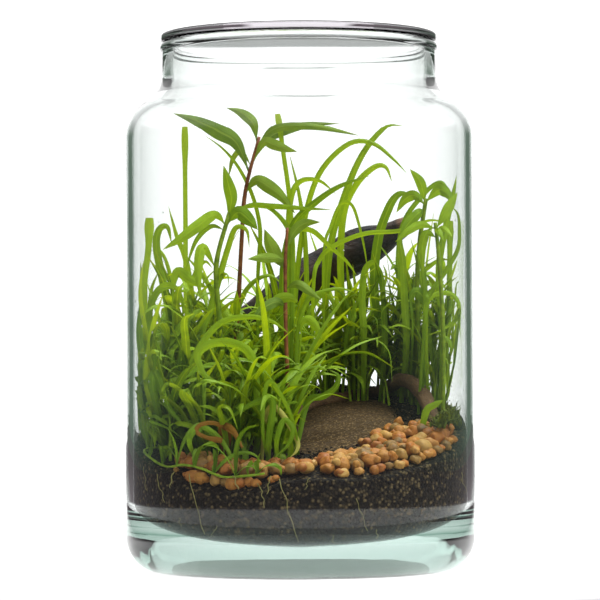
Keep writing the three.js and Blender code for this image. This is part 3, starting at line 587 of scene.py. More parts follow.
@dataclass(frozen=True)
class Strand:
    """A long blade that crosses the others: half its width, its root, its depth and its route."""

    half: float
    root: tuple[float, float]
    depth: float
    route: tuple[tuple[float, float], ...]


STRANDS = (
    Strand(1.0, (-19, 16), 14, ((-19.6, 124), (-19, 142), (-18.2, 155), (-19.5, 165), (-23, 176),
        (-28.9, 187), (-35.8, 195), (-44.1, 201))),
    Strand(1.4, (-4, 12), 10, ((-5.1, 142), (-5, 159), (-4.1, 170), (-1.7, 177), (3, 180), (10.1, 179),
        (17.1, 173))),
    Strand(1.2, (-4, 0), -2, ((-3.8, 124), (-3.7, 143), (-4.2, 154), (-8.8, 162), (-15.9, 167),
        (-25.1, 166))),
    Strand(0.8, (12, 38), 15, ((11.1, 142), (14.9, 159), (19.5, 169), (24.7, 168), (28.3, 157), (30.6, 146),
        (31.9, 136))),
    Strand(1.1, (6, 38), 12, ((6.3, 129), (9.4, 143), (17.3, 150), (30.8, 155), (45.4, 156), (54.4, 159),
        (62.2, 161), (71.2, 159))),
    Strand(1.3, (-6, 6), 6, ((-4.7, 129), (-4.6, 147), (-1.8, 156), (6, 156), (13.8, 149), (21.6, 142),
        (26.6, 135))),
    Strand(1.1, (-3, -6), -4, ((-1.2, 106), (0.7, 117), (4.7, 125), (11.4, 128), (19.1, 129), (25.9, 127))),
    Strand(2.4, (-57, -8), -6, ((-57.8, 110), (-57.7, 129), (-55.6, 137), (-49.5, 133), (-42.9, 130))),
    Strand(2.0, (-20, -36), -44, ((-18.3, 70), (-20, 91), (-22.6, 100), (-29.7, 104), (-38.6, 104),
        (-44.4, 100), (-44.4, 95), (-39.6, 88), (-24.9, 84))),
    Strand(1.8, (-60, -20), -38, ((-66.6, 82), (-65.7, 91), (-62.1, 88), (-58.2, 76), (-50.2, 66))),
    Strand(1.5, (-48, -20), -30, ((-48.1, 79), (-48, 92), (-45.7, 101), (-35.8, 113), (-23.7, 116),
        (-12.8, 114), (-4.3, 108))),
    Strand(1.0, (-14, -50), -60, ((-16.4, 66), (-15.4, 82), (-12.7, 87), (-6.7, 78), (-3.4, 70), (-1.4, 61),
        (-2.8, 57))),
    Strand(1.5, (-14, -48), -58, ((-13.8, 61), (-11.9, 77), (-15.7, 79), (-24.8, 75), (-33.9, 68))),
    Strand(1.3, (-46, -38), -56, ((-48.3, 61), (-43.8, 67), (-37.3, 64), (-31.7, 57), (-29.4, 50))),
    Strand(1.2, (-10, -50), -62, ((-10.2, 61), (-7.1, 70), (-3.2, 66), (-5.4, 59), (-12, 53))),
    Strand(0.9, (57, 14), 5, ((57.8, 120), (56.8, 137), (55.2, 146), (58.5, 155), (64.1, 158))),
    Strand(1.1, (55, 14), -2, ((58, 120), (59.4, 126), (67.1, 137), (72.9, 147), (73.8, 156), (73, 163),
        (69.8, 167))),
    Strand(1.2, (60, 16), 2, ((58.1, 110), (59.4, 124), (67.9, 127), (73.4, 123), (73.3, 116), (67.1, 111),
        (57.6, 107))),
    Strand(1.5, (-70, 2), 2, ((-73.5, 78), (-74.3, 106), (-73.2, 129), (-75.4, 142))),
    Strand(1.7, (-68, -12), -14, ((-71.4, 69), (-70.8, 92), (-72.5, 110), (-71.5, 126))),
    Strand(1.3, (-66, 12), 10, ((-68.8, 87), (-70.5, 110), (-69.4, 128), (-65.7, 138))),
    Strand(1.4, (-62, -8), -10, ((-69.6, 97), (-69.4, 108), (-68.2, 119), (-63.7, 128), (-56, 130))),
    Strand(2.6, (52, 36), 14, ((52.6, 111), (51.7, 124), (54.5, 128), (58.2, 124), (59.6, 118))),
    Strand(2.4, (-10, -2), -8, ((-13.9, 110), (-13.9, 118), (-10.2, 124), (-4.7, 125), (-1.1, 123))),
    Strand(2.2, (-4, -10), -8, ((0.2, 103), (0.7, 112), (3.4, 115), (7.1, 112), (9.8, 106))),
    Strand(1.6, (-1, -20), -14, ((2.2, 74), (5, 79), (10.5, 80), (16, 84), (17.4, 89), (13.3, 92))),
    Strand(1.6, (54, -22), -24, ((56.4, 73), (60.1, 76), (63.7, 78))),
    Strand(1.5, (-40, -4), -4, ((-44.2, 106), (-40.9, 119), (-37.4, 132), (-33, 147), (-29.2, 157),
        (-24.2, 156), (-22.9, 148))),
    Strand(1.3, (-38, 4), 4, ((-34.3, 110), (-35.6, 119), (-44.3, 135), (-52.5, 145))),
    Strand(1.3, (-64, -2), -8, ((-67.8, 110), (-67.3, 124), (-61.7, 131), (-55.8, 129), (-53.1, 121),
        (-54.1, 113))),
    Strand(1.7, (30, 40), 26, ((30.1, 106), (29.3, 125), (30.7, 138), (34.5, 142), (37.8, 138))),
    Strand(1.4, (38, 40), 28, ((39.9, 101), (39.6, 120), (38.7, 135), (36.4, 142))),
    Strand(1.8, (48, 36), 20, ((49.9, 104), (49.1, 125), (48.3, 142), (47, 152), (49.8, 157))),
    Strand(1.0, (58, 22), 12, ((57.5, 95), (58.1, 115), (58.6, 131), (56.9, 142), (53.2, 148))),
    Strand(0.9, (66, 14), 8, ((65.7, 101), (65.8, 124), (65, 142), (66, 152), (68.8, 157))),
    Strand(1.2, (-28, 26), 24, ((-29.6, 111), (-27.2, 125), (-21.6, 133), (-14.1, 136), (-8, 132))),
    Strand(1.1, (-58, 22), 18, ((-62, 115), (-59.6, 127), (-61.4, 139), (-65, 147), (-70.1, 150))),
    Strand(1.2, (-48, 6), 6, ((-49.1, 110), (-50.9, 124), (-48.5, 136), (-43.8, 142), (-40.2, 139))),
    Strand(1.2, (2, 38), 30, ((3, 111), (6.4, 122), (11.1, 127), (15.3, 124), (16.6, 116))),
    Strand(1.0, (20, 44), 34, ((21.8, 104), (23.7, 116), (21, 126), (16.3, 130))),
    Strand(1.0, (26, 44), 34, ((25, 104), (25.1, 118), (28.5, 126), (33.7, 129))),
)


@dataclass(frozen=True)
class Patch:
    """A patch of leafy stems: where they are rooted and how high they reach."""

    name: str
    west: float
    east: float
    south: float
    north: float
    count: int
    low: float
    high: float


UNDERGROWTH = (
    Patch("undergrowth_left", -70, -26, -6, 44, 19, 90, 132),
    Patch("undergrowth_front", -60, -6, -46, -10, 14, 76, 100),
    Patch("undergrowth_centre", -26, 22, 8, 60, 15, 92, 120),
    Patch("undergrowth_back", 22, 46, 30, 66, 12, 96, 124),
    Patch("undergrowth_right", 46, 72, 14, 54, 13, 100, 146),
)
WITHERED_ROOT = (-33.0, -38.0)
WITHERED_HALF = 2.0
WITHERED_ROUTE = ((-34.5, -45, 62), (-33, -54, 67), (-29, -61, 65), (-25, -65, 58))
WITHERED_LOOP = (
    (-31.3, -52, 64.2), (-37, -56, 68.6), (-43.2, -57, 68.1), (-45, -57, 65), (-40.6, -58, 62.4),
    (-33.9, -58, 61),
)
WITHERED_LOOP_HALF = 1.2
PALE_ROOT = (-17.0, -44.0)
PALE_ROUTE = (
    (-15.5, -47, 70), (-12.5, -50, 76), (-8.8, -54, 73.6), (-5, -57, 68.2), (-1.2, -60, 60.5),
    (-1.6, -62, 56.5), (-4.6, -64, 53.6),
)
PALE_HALF = 1.25
RUNNER_ANGLES = (203, 211, 219, 227, 235, 243, 251, 258)
RUNNER_RING = INSIDE - 2.2
RUNNER_LIFT = 2.0


@dataclass
class Thicket:
    """Where blades already are, in a grid of cells, as when the solids were placed."""

    cells: dict[tuple[int, ...], list[tuple]] = field(default_factory=dict)

    @staticmethod
    def _cell(position: Sequence[float]) -> tuple[int, ...]:
        """The cell that a place is in."""
        return tuple(math.floor(value / CELL) for value in position)

    @staticmethod
    def samples(route: Sequence[Point]) -> list[Point]:
        """Points at short steps along a route.

        Args:
            route: The route's stations.

        Returns:
            The points.
        """
        found = []
        for start, end in zip(route, route[1:]):
            steps = math.ceil(distance(start, end) / SAMPLE_STEP)
            for step in range(steps):
                share = step / steps
                found.append(tuple(a + (b - a) * share for a, b in zip(start, end)))
        found.append(tuple(route[-1]))
        return found

    def add(self, route: Sequence[Point], reach: float, owner: object) -> None:
        """Fills the cells along a route."""
        for position in self.samples(route):
            self.cells.setdefault(self._cell(position), []).append((*position, reach, owner))

    def touches(self, position: Point, reach: float, owner: object) -> bool:
        """Whether another plant is too near.

        Args:
            position: The place asked about.
            reach: Half the width there.
            owner: The plant that asks.

        Returns:
            True if one is.
        """
        for cell in product(*(range(number - 1, number + 2) for number in self._cell(position))):
            for x, y, z, other_reach, other in self.cells.get(cell, ()):
                limit = reach + other_reach + BLADE_CLEARANCE
                dx, dy, dz = position[0] - x, position[1] - y, position[2] - z
                if other != owner and dx * dx + dy * dy + dz * dz < limit * limit:
                    return True
        return False


def keep_inside(position: Point, clearance: float = GLASS_CLEARANCE) -> Point:
    """Slides a point in from the glass.

    Args:
        position: The point.
        clearance: The room left before the glass.

    Returns:
        The point, moved if it was too far out.
    """
    x, y, z = position
    radius = math.hypot(x, y)
    limit = INSIDE - clearance - max(0.0, z - SHOULDER_START + 2) * SHOULDER_LEAN
    if radius > limit:
        return (x * limit / radius, y * limit / radius, z)
    return (x, y, z)


def cover_height(x: float, y: float) -> float:
    """Height of what covers the ground: soil, sand or gravel.

    Args:
        x: Place to the right.
        y: Place to the back.

    Returns:
        The height in millimetres.
    """
    angle = bearing_of(x, y)
    radius = math.hypot(x, y)
    for stretch in GRAVEL:
        inner_row = GRAVEL_OUTER_ROW - (stretch.rows - 1) * GRAVEL_ROW_STEP
        if stretch.start - 4 < angle < stretch.end + 4 and radius > inner_row - 5:
            return ground_height(x, y) + 8
    sand_x = (x - SAND_CENTRE[0]) / (SAND_REACH[0] + 1)
    sand_y = (y - SAND_CENTRE[1]) / (SAND_REACH[1] + 1)
    if sand_x * sand_x + sand_y * sand_y < 1:
        return ground_height(x, y) + SAND_DOME + COVER_LIFT
    return ground_height(x, y) + COVER_LIFT


def is_free(position: Point) -> bool:
    """Whether a fine leaf may pass: above the ground's cover, clear of wood and off the open sand.

    Args:
        position: The place, in millimetres.

    Returns:
        Whether it is free.
    """
    over_sand = position[0] > SPARE_SAND[0] and position[1] < SPARE_SAND[1] and position[2] < SPARE_SAND[2]
    above = position[2] > cover_height(position[0], position[1]) + LEAF_LIFT
    return not over_sand and above and clear_of_wood(position, LEAF_CLEARANCE)


def has_room(thicket: Thicket, blade: Blade, owner: object) -> bool:
    """Whether a blade grows clear of ground, wood and other plants.

    Args:
        thicket: What already grows.
        blade: The blade.
        owner: Its plant.

    Returns:
        True if it does.
    """
    for index, position in enumerate(Thicket.samples(blade.route)):
        out_of_crown = index * SAMPLE_STEP > 2 * CROWN_RISE
        if out_of_crown and position[2] <= cover_height(position[0], position[1]) + blade.half:
            return False
        if not clear_of_wood(position, blade.half + BLADE_CLEARANCE):
            return False
        if thicket.touches(position, blade.half, owner):
            return False
    return True


def grow(start: Point, turn: float, tall: float, source: RandomSource, habit: Habit) -> Blade:
    """A blade that rises from its root and bows over under its own weight.

    Args:
        start: Its root.
        turn: The bearing that it grows towards.
        tall: The usual length that its own is drawn from.
        source: The random source.
        habit: How it grows.

    Returns:
        The blade.
    """
    heading = turn + source.within(habit.heading)
    lean = source.within(habit.lean)
    curl = source.within(habit.curl)
    swerve = source.within(habit.swerve)
    step = tall * source.within(habit.length) / GRASS_SPANS
    half = source.within(habit.half)
    twist = source.within(habit.twist)
    route = [start]
    for span in range(GRASS_SPANS):
        along = (span + 0.5) / GRASS_SPANS
        slant = lean + curl * along * along
        bearing = heading + swerve * along
        x, y, z = route[-1]
        route.append(keep_inside((
            x + step * math.sin(slant) * math.cos(bearing),
            y + step * math.sin(slant) * math.sin(bearing),
            z + step * math.cos(slant),
        )))
    return Blade(route, half, twist, (-math.sin(heading), math.cos(heading), 0.0))


def grass_blade(tuft: Tuft, turn: float, source: RandomSource, habit: Habit = ARCHING) -> Blade:
    """A blade that grows from the ring of roots round a crown."""
    x, y = tuft.x + ROOT_RING * math.cos(turn), tuft.y + ROOT_RING * math.sin(turn)
    return grow((x, y, ground_height(tuft.x, tuft.y) + ROOT_LIFT), turn, tuft.tall, source, habit)


def faced_blade(start: Point, half: float, route: Iterable[Point], blunt: bool = False) -> Blade:
    """A named blade that follows its own route and shows its face to the front."""
    stations = [start, *(keep_inside(stop) for stop in route)]
    return Blade(stations, half, faced=True, blunt=blunt, shape=stem_width if blunt else grass_width)


def shoot_stalk(shoot: Shoot) -> list[Point]:
    """A shoot's stalk from below the ground up."""
    return [on_ground(*shoot.root, -STALK_DEPTH), on_ground(*shoot.root, STALK_RISE), *shoot.stalk]


def grow_tufts() -> list[list[Blade]]:
    """Grows every tuft's blades as in the solids.

    Returns:
        For each tuft, its blades.
    """
    thicket = Thicket()
    grown = []
    for index, tuft in enumerate(TUFTS):
        start = on_ground(tuft.x, tuft.y, ROOT_LIFT)
        stands = [faced_blade(start, stand.half, stand.route, stand.blunt) for stand in tuft.stands]
        for blade in stands:
            thicket.add(blade.route, blade.half, index)
        grown.append(stands)
    for shoot in SHOOTS:
        thicket.add(shoot_stalk(shoot), shoot.radii[0], shoot.name)
        for leaf in shoot.leaves:
            thicket.add(leaf.route, leaf.half, shoot.name)
    thicket.add([on_ground(*WITHERED_ROOT), *WITHERED_ROUTE], WITHERED_HALF, "withered_leaf")
    for index, tuft in enumerate(TUFTS):
        crown = [on_ground(tuft.x, tuft.y), on_ground(tuft.x, tuft.y, CROWN_RISE)]
        thicket.add(crown, CROWN_RADIUS, index)
    source = RandomSource(PLANT_SEED)
    for index, tuft in enumerate(TUFTS):
        for number in range(tuft.blades):
            for _ in range(TRIES):
                blade = grass_blade(tuft, number * GOLDEN_TURN, source)
                if has_room(thicket, blade, index):
                    thicket.add(blade.route, blade.half, index)
                    grown[index].append(blade)
                    break
    return grown


# Surfaces


@dataclass
class Surface:
    """Collects one piece's points and faces, in millimetres, and its values for each point."""

    points: list[np.ndarray] = field(default_factory=list)
    faces: list[np.ndarray] = field(default_factory=list)
    layers: list[np.ndarray] = field(default_factory=list)
    values: dict[str, list[np.ndarray]] = field(
        default_factory=lambda: {"tone": [], "along": [], "across": []}
    )
    count: int = 0

    def add(
        self,
        points: np.ndarray,
        faces: np.ndarray,
        layer: Layer = Layer.MAIN,
        tone: float | np.ndarray = 0.5,
        along: float | np.ndarray = 0.0,
        across: float | np.ndarray = 0.0,
    ) -> None:
        """Adds a patch.

        Args:
            points: Its points, one row each.
            faces: Its faces, one row of point numbers each.
            layer: The material that its faces take.
            tone: A random value for the patch or for each point.
            along: Place along, for each point.
            across: Place across, for each point.
        """
        self.points.append(np.asarray(points, dtype=float))
        self.faces.append(np.asarray(faces, dtype=int) + self.count)
        self.layers.append(np.full(len(faces), layer.value, dtype=int))
        for name, value in (("tone", tone), ("along", along), ("across", across)):
            self.values[name].append(np.broadcast_to(np.asarray(value, dtype=float), (len(points),)))
        self.count += len(points)

    def close(self, rings: int, sides: int, layer: Layer = Layer.MAIN, poles: int = 2) -> None:
        """Closes the last patch with fans to the points that follow its rings.

        Args:
            rings: Its number of rings.
            sides: Points in a ring.
            layer: The material that the fans take.
            poles: Two to close both ends, or one to close the last ring only.
        """
        around = np.arange(sides)
        following = (around + 1) % sides
        last = (rings - 1) * sides
        pole = np.full(sides, rings * sides)
        fans = [np.stack([pole, following, around], axis=1)] if poles == 2 else []
        fans.append(np.stack([pole + poles - 1, last + around, last + following], axis=1))
        self.faces.append(np.vstack(fans) + self.count - len(self.points[-1]))
        self.layers.append(np.full(sides * poles, layer.value, dtype=int))

    def build(self, name: str, materials: Sequence[Material]) -> bpy.types.Object:
        """Makes the object, at the origin.

        Args:
            name: The piece's name.
            materials: Its one or two materials.

        Returns:
            The object, linked to the scene.
        """
        mesh = bpy.data.meshes.new(name)
        faces = [tuple(row) for block in self.faces for row in block.tolist()]
        mesh.from_pydata((np.concatenate(self.points) * MM).tolist(), [], faces)
        for material in materials:
            mesh.materials.append(material)
        mesh.polygons.foreach_set("material_index", np.concatenate(self.layers).astype(np.int32))
        for title, blocks in self.values.items():
            layer = mesh.attributes.new(title, "FLOAT", "POINT")
            layer.data.foreach_set("value", np.concatenate(blocks).astype(np.float32))
        mesh.shade_smooth()
        mesh.update()
        obj = bpy.data.objects.new(name, mesh)
        bpy.context.scene.collection.objects.link(obj)
        return obj


def grid_faces(rows: int, columns: int, wrap: bool) -> np.ndarray:
    """Quads of a grid of points, row by row.

    Args:
        rows: Number of rows of points.
        columns: Points in a row.
        wrap: Whether the last point joins the first.

    Returns:
        The quads.
    """
    width = columns if wrap else columns - 1
    row, column = np.meshgrid(np.arange(rows - 1), np.arange(width), indexing="ij")
    after = (column + 1) % columns
    here, ahead = row * columns, (row + 1) * columns
    return np.stack([here + column, here + after, ahead + after, ahead + column], axis=-1).reshape(-1, 4)


def closed_body(rings: Sequence[Sequence[Point]], poles: Sequence[Point]) -> Surface:
    """A surface of rings of points, closed by fans.

    Args:
        rings: Its rings, all of one length.
        poles: The middle of both ends, or of the last one only.

    Returns:
        The surface.
    """
    surface = Surface()
    sides = len(rings[0])
    points = [spot for ring in rings for spot in ring]
    surface.add(np.array([*points, *poles], dtype=float), grid_faces(len(rings), sides, wrap=True))
    surface.close(len(rings), sides, poles=len(poles))
    return surface


def unit(vectors: np.ndarray) -> np.ndarray:
    """Vectors of length one."""
    return vectors / np.maximum(np.linalg.norm(vectors, axis=-1, keepdims=True), 1e-9)


def smooth_route(route: Sequence[Point], per_span: int) -> np.ndarray:
    """A smooth curve through a route's stations.

    Args:
        route: The stations.
        per_span: Steps in each span.

    Returns:
        The curve's points.
    """
    stations = np.asarray(route, dtype=float)
    first = 2 * stations[0] - stations[1]
    last = 2 * stations[-1] - stations[-2]
    padded = np.vstack([first, stations, last])
    share = (np.arange(per_span) / per_span)[:, None]
    found = []
    for a, b, c, d in zip(padded, padded[1:], padded[2:], padded[3:]):
        bend = (2 * a - 5 * b + 4 * c - d) * share**2
        ease = (3 * b - a - 3 * c + d) * share**3
        found.append(0.5 * (2 * b + (c - a) * share + bend + ease))
    return np.vstack([*found, stations[-1:]])


def turned(vectors: np.ndarray, axes: np.ndarray, angles: np.ndarray) -> np.ndarray:
    """Vectors turned about axes.

    Args:
        vectors: One row each.
        axes: A unit axis for each.
        angles: An angle for each, in radians.

    Returns:
        The turned vectors.
    """
    cosine = np.cos(angles)[:, None]
    sine = np.sin(angles)[:, None]
    dot = np.sum(vectors * axes, axis=1, keepdims=True)
    return vectors * cosine + np.cross(axes, vectors) * sine + axes * dot * (1 - cosine)


WAVE_TURN = 6.28


@dataclass(frozen=True)
class BladeLook:
    """How finely a blade is drawn and how it is folded."""

    per_span: int = 4
    columns: int = 5
    fold: float = 0.3
    ripple: float = 0.05
    deepest: float = 0.8
    narrowest: float = 0.02


def add_blade(surface: Surface, blade: Blade, look: BladeLook, source: RandomSource) -> None:
    """Adds a blade as a folded, slightly rippled ribbon.

    Args:
        surface: The piece.
        blade: The blade.
        look: How it is drawn.
        source: The random source.
    """
    path = smooth_route(blade.route, look.per_span)
    count = len(path)
    along = np.linspace(0, 1, count)
    tangent = unit(np.gradient(path, axis=0))
    if blade.faced:
        side = np.cross(tangent, np.array([0.0, 1.0, 0.0]))
    else:
        side = np.asarray(blade.side) - tangent * (tangent @ np.asarray(blade.side))[:, None]
    side = turned(unit(side), tangent, blade.twist * along)
    under = np.cross(tangent, side)
    half = blade.half * np.maximum([blade.shape(value) for value in along], look.narrowest)
    phase = source.draw() * WAVE_TURN
    wave = look.ripple * np.sin(along * (9 + 8 * source.draw()) + phase)
    tone = source.draw() if blade.tone is None else blade.tone
    across = np.linspace(-1, 1, look.columns)
    rows = []
    for beside in across:
        offset = look.fold * (1 - abs(beside)) + wave * beside * abs(beside)
        sunk = np.minimum(half * offset, look.deepest)
        rows.append(path + side * (half * beside)[:, None] + under * sunk[:, None])
    points = np.stack(rows, axis=1).reshape(-1, 3)
    surface.add(
        points,
        grid_faces(count, look.columns, wrap=False),
        tone=tone,
        along=np.repeat(along, look.columns),
        across=np.tile(across, count),
    )


def add_tube(
    surface: Surface,
    path: np.ndarray,
    radii: np.ndarray,
    sides: int,
    layer: Layer = Layer.MAIN,
    tone: float = 0.5,
    lumps: Callable[[int, int], float] | None = None,
) -> None:
    """Adds a closed round body along a path.

    Args:
        surface: The piece.
        path: Its centre line.
        radii: Its radius at each point of the path.
        sides: Points round it.
        layer: The material that it takes.
        tone: A random value.
        lumps: A factor on the radius for each ring and side.
    """
    count = len(path)
    tangent = unit(np.gradient(path, axis=0))
    across = np.array([0.0, 1.0, 0.0])
    angles = np.arange(sides) / sides * FULL_TURN
    rings = []
    for ring in range(count):
        across = across - tangent[ring] * (across @ tangent[ring])
        across = across / np.linalg.norm(across)
        up = np.cross(tangent[ring], across)
        reach = np.array([lumps(ring, side) if lumps else 1.0 for side in range(sides)]) * radii[ring]
        beside = np.outer(np.cos(angles) * reach, across)
        rings.append(path[ring] + beside + np.outer(np.sin(angles) * reach, up))
    points = np.vstack([*rings, path[:1], path[-1:]])
    share = np.concatenate([np.repeat(np.linspace(0, 1, count), sides), [0.0, 1.0]])
    around = np.concatenate([np.tile(np.arange(sides) / sides, count), [0.0, 0.0]])
    surface.add(points, grid_faces(count, sides, wrap=True), layer, tone, share, around)
    surface.close(count, sides, layer)


def place(
    surface: Surface,
    name: str,
    materials: Sequence[Material],
    slot: str,
    nodes: Sequence[str] = (),
) -> bpy.types.Object:
    """Builds a piece, lets it ride on the body and hides the solids that it stands for.

    Args:
        surface: The piece's surface.
        name: Its name.
        materials: Its materials.
        slot: The record's material slot; not used.
        nodes: The solids that it replaces.

    Returns:
        The object.
    """
    obj = surface.build(name, materials)
    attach(obj, BODY)
    if nodes:
        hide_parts(*nodes)
    LOG.info("%s: %d faces", name, len(obj.data.polygons))
    return obj


# Shader graphs


@dataclass
class Graph:
    """Short ways to fill a node tree."""

    tree: bpy.types.NodeTree

    def add(self, kind: str, inputs: dict[str | int, object] | None = None, **settings: object) -> Node:
        """Adds a node.

        Args:
            kind: The node's type.
            inputs: A value or a socket for each named input.
            **settings: The node's own settings.

        Returns:
            The node.
        """
        node = self.tree.nodes.new(kind)
        for name, value in settings.items():
            setattr(node, name, value)
        return self.fill(node, inputs or {})

    def fill(self, node: Node, inputs: dict[str | int, object]) -> Node:
        """Feeds several inputs of a node.

        Args:
            node: The node.
            inputs: A value or a socket for each named input.

        Returns:
            The node.
        """
        for name, value in inputs.items():
            self.feed(node.inputs[name], value)
        return node

    def feed(self, target: Socket, value: object) -> None:
        """Links a socket, or sets its value.

        Args:
            target: The input.
            value: A socket or a plain value.
        """
        if isinstance(value, bpy.types.NodeSocket):
            self.tree.links.new(value, target)
        else:
            target.default_value = value

    def math(self, operation: str, *values: object) -> Socket:
        """Adds a sum on numbers."""
        return self.add("ShaderNodeMath", dict(enumerate(values)), operation=operation).outputs[0]

    def scaled(self, value: object, factor: object) -> Socket:
        """Multiplies a number by a factor."""
        return self.math("MULTIPLY", value, factor)

    def mix(self, share: object, first: object, second: object, blend: str = "MIX") -> Socket:
        """Mixes two colours.

        Args:
            share: How much of the second.
            first: The first colour.
            second: The second colour.
            blend: The way they are mixed.

        Returns:
            The result's socket.
        """
        node = self.add("ShaderNodeMix", data_type="RGBA", blend_type=blend)
        for index, value in ((0, share), (6, first), (7, second)):
            self.feed(node.inputs[index], value)
        return node.outputs[2]

    def span(
        self, value: object, low: float, high: float, to_low: float = 0.0, to_high: float = 1.0
    ) -> Socket:
        """Maps a range onto another and stops at its ends."""
        terms = {0: value, 1: low, 2: high, 3: to_low, 4: to_high}
        return self.add("ShaderNodeMapRange", terms).outputs[0]

    def noise(self, where: object, scale: float, detail: float = 4.0, distortion: float = 0.0) -> Socket:
        """Adds a noise texture."""
        terms = {"Vector": where, "Scale": scale, "Detail": detail, "Distortion": distortion}
        return self.add("ShaderNodeTexNoise", terms).outputs["Fac"]

    def value(self, title: str) -> Socket:
        """Reads one of the surface's own values."""
        return self.add("ShaderNodeAttribute", attribute_name=title).outputs["Fac"]

    def where(self) -> Socket:
        """The place on the object, in metres."""
        return self.add("ShaderNodeTexCoord").outputs["Object"]

    def split(self, vector: object) -> Sequence[Socket]:
        """Splits a vector into its three numbers."""
        return self.add("ShaderNodeSeparateXYZ", {0: vector}).outputs

    def relief(self, height: Socket, strength: object, depth: float) -> Socket:
        """Bends the normal by a height, with a strength and a depth in metres."""
        inputs = {"Height": height, "Strength": strength, "Distance": depth}
        return self.add("ShaderNodeBump", inputs).outputs[0]

    def blended(self, share: object, first: Node, second: Node) -> Socket:
        """Mixes two shaders."""
        inputs = {0: share, 1: first.outputs[0], 2: second.outputs[0]}
        return self.add("ShaderNodeMixShader", inputs).outputs[0]


def new_material(name: str) -> tuple[Material, Graph, Node]:
    """Makes a material with only an output.

    Args:
        name: The material's name.

    Returns:
        The material, its graph and its output node.
    """
    material = bpy.data.materials.new(name)
    material.use_nodes = True
    material.node_tree.nodes.clear()
    graph = Graph(material.node_tree)
    return material, graph, graph.add("ShaderNodeOutputMaterial")


def new_group(name: str, inputs: Iterable[str], outputs: Iterable[str]) -> tuple[Graph, Node, Node]:
    """Makes an empty shader node group that takes and gives numbers.

    Args:
        name: The group's name.
        inputs: Its inputs' names.
        outputs: Its outputs' names.

    Returns:
        Its graph, its input node and its output node.
    """
    tree = bpy.data.node_groups.new(name, "ShaderNodeTree")
    for way, titles in (("INPUT", inputs), ("OUTPUT", outputs)):
        for title in titles:
            tree.interface.new_socket(title, in_out=way, socket_type="NodeSocketFloat")
    return Graph(tree), tree.nodes.new("NodeGroupInput"), tree.nodes.new("NodeGroupOutput")


def leaf_group() -> bpy.types.NodeTree:
    """Veins, midrib and mottling of a blade.

    Returns:
        The group.
    """
    graph, given, out = new_group("leaf pattern", ("Across", "Veins"), ("Vein", "Rib", "Mottle", "Height"))
    across = given.outputs["Across"]
    vein = graph.span(graph.math("SINE", graph.scaled(across, given.outputs["Veins"])), 0.1, 1.0)
    rib = graph.span(graph.math("ABSOLUTE", across), 0.02, 0.16, 1.0, 0.0)
    mottle = graph.span(graph.noise(graph.where(), 260.0, 5.0), 0.3, 0.7)
    height = graph.math("ADD", graph.scaled(vein, 0.5), rib)
    graph.fill(out, {"Vein": vein, "Rib": rib, "Mottle": mottle, "Height": height})
    return graph.tree


def grain_group() -> bpy.types.NodeTree:
    """Grains of soil, sand or stone.

    Returns:
        The group.
    """
    graph, given, out = new_group("grains", ("Scale",), ("Height", "Tone", "Fine"))
    where = graph.where()
    terms = {"Vector": where, "Scale": given.outputs["Scale"], "Randomness": 1.0}
    cells = graph.add("ShaderNodeTexVoronoi", terms).outputs
    finer = graph.noise(where, 900.0, 6.0)
    height = graph.math("ADD", graph.math("SUBTRACT", 1.0, cells["Distance"]), graph.scaled(finer, 0.35))
    tone = graph.add("ShaderNodeSeparateColor", {0: cells["Color"]}).outputs[0]
    graph.fill(out, {"Height": height, "Tone": tone, "Fine": finer})
    return graph.tree


def bark_group() -> bpy.types.NodeTree:
    """Long cracks and fibres of wood.

    Returns:
        The group.
    """
    graph, given, out = new_group("bark", ("Along", "Around", "Length"), ("Fibre", "Patch", "Height"))
    turn = graph.scaled(given.outputs["Around"], FULL_TURN)
    length = graph.scaled(given.outputs["Along"], given.outputs["Length"])
    terms = {0: graph.math("COSINE", turn), 1: graph.math("SINE", turn), 2: length}
    fibre = graph.noise(graph.add("ShaderNodeCombineXYZ", terms).outputs[0], 5.5, 8.0, 0.6)
    patch = graph.noise(graph.where(), 70.0)
    height = graph.math("ADD", fibre, graph.scaled(patch, 0.5))
    fibre, patch = graph.span(fibre, 0.35, 0.68), graph.span(patch, 0.4, 0.62)
    graph.fill(out, {"Fibre": fibre, "Patch": patch, "Height": height})
    return graph.tree


@dataclass(frozen=True)
class LeafFinish:
    """Colours of a kind of leaf."""

    name: str
    deep: Colour
    bright: Colour
    rib: Colour
    back: Colour
    tip: Colour
    veins: float
    through: float = 0.42
    roughness: float = 0.38


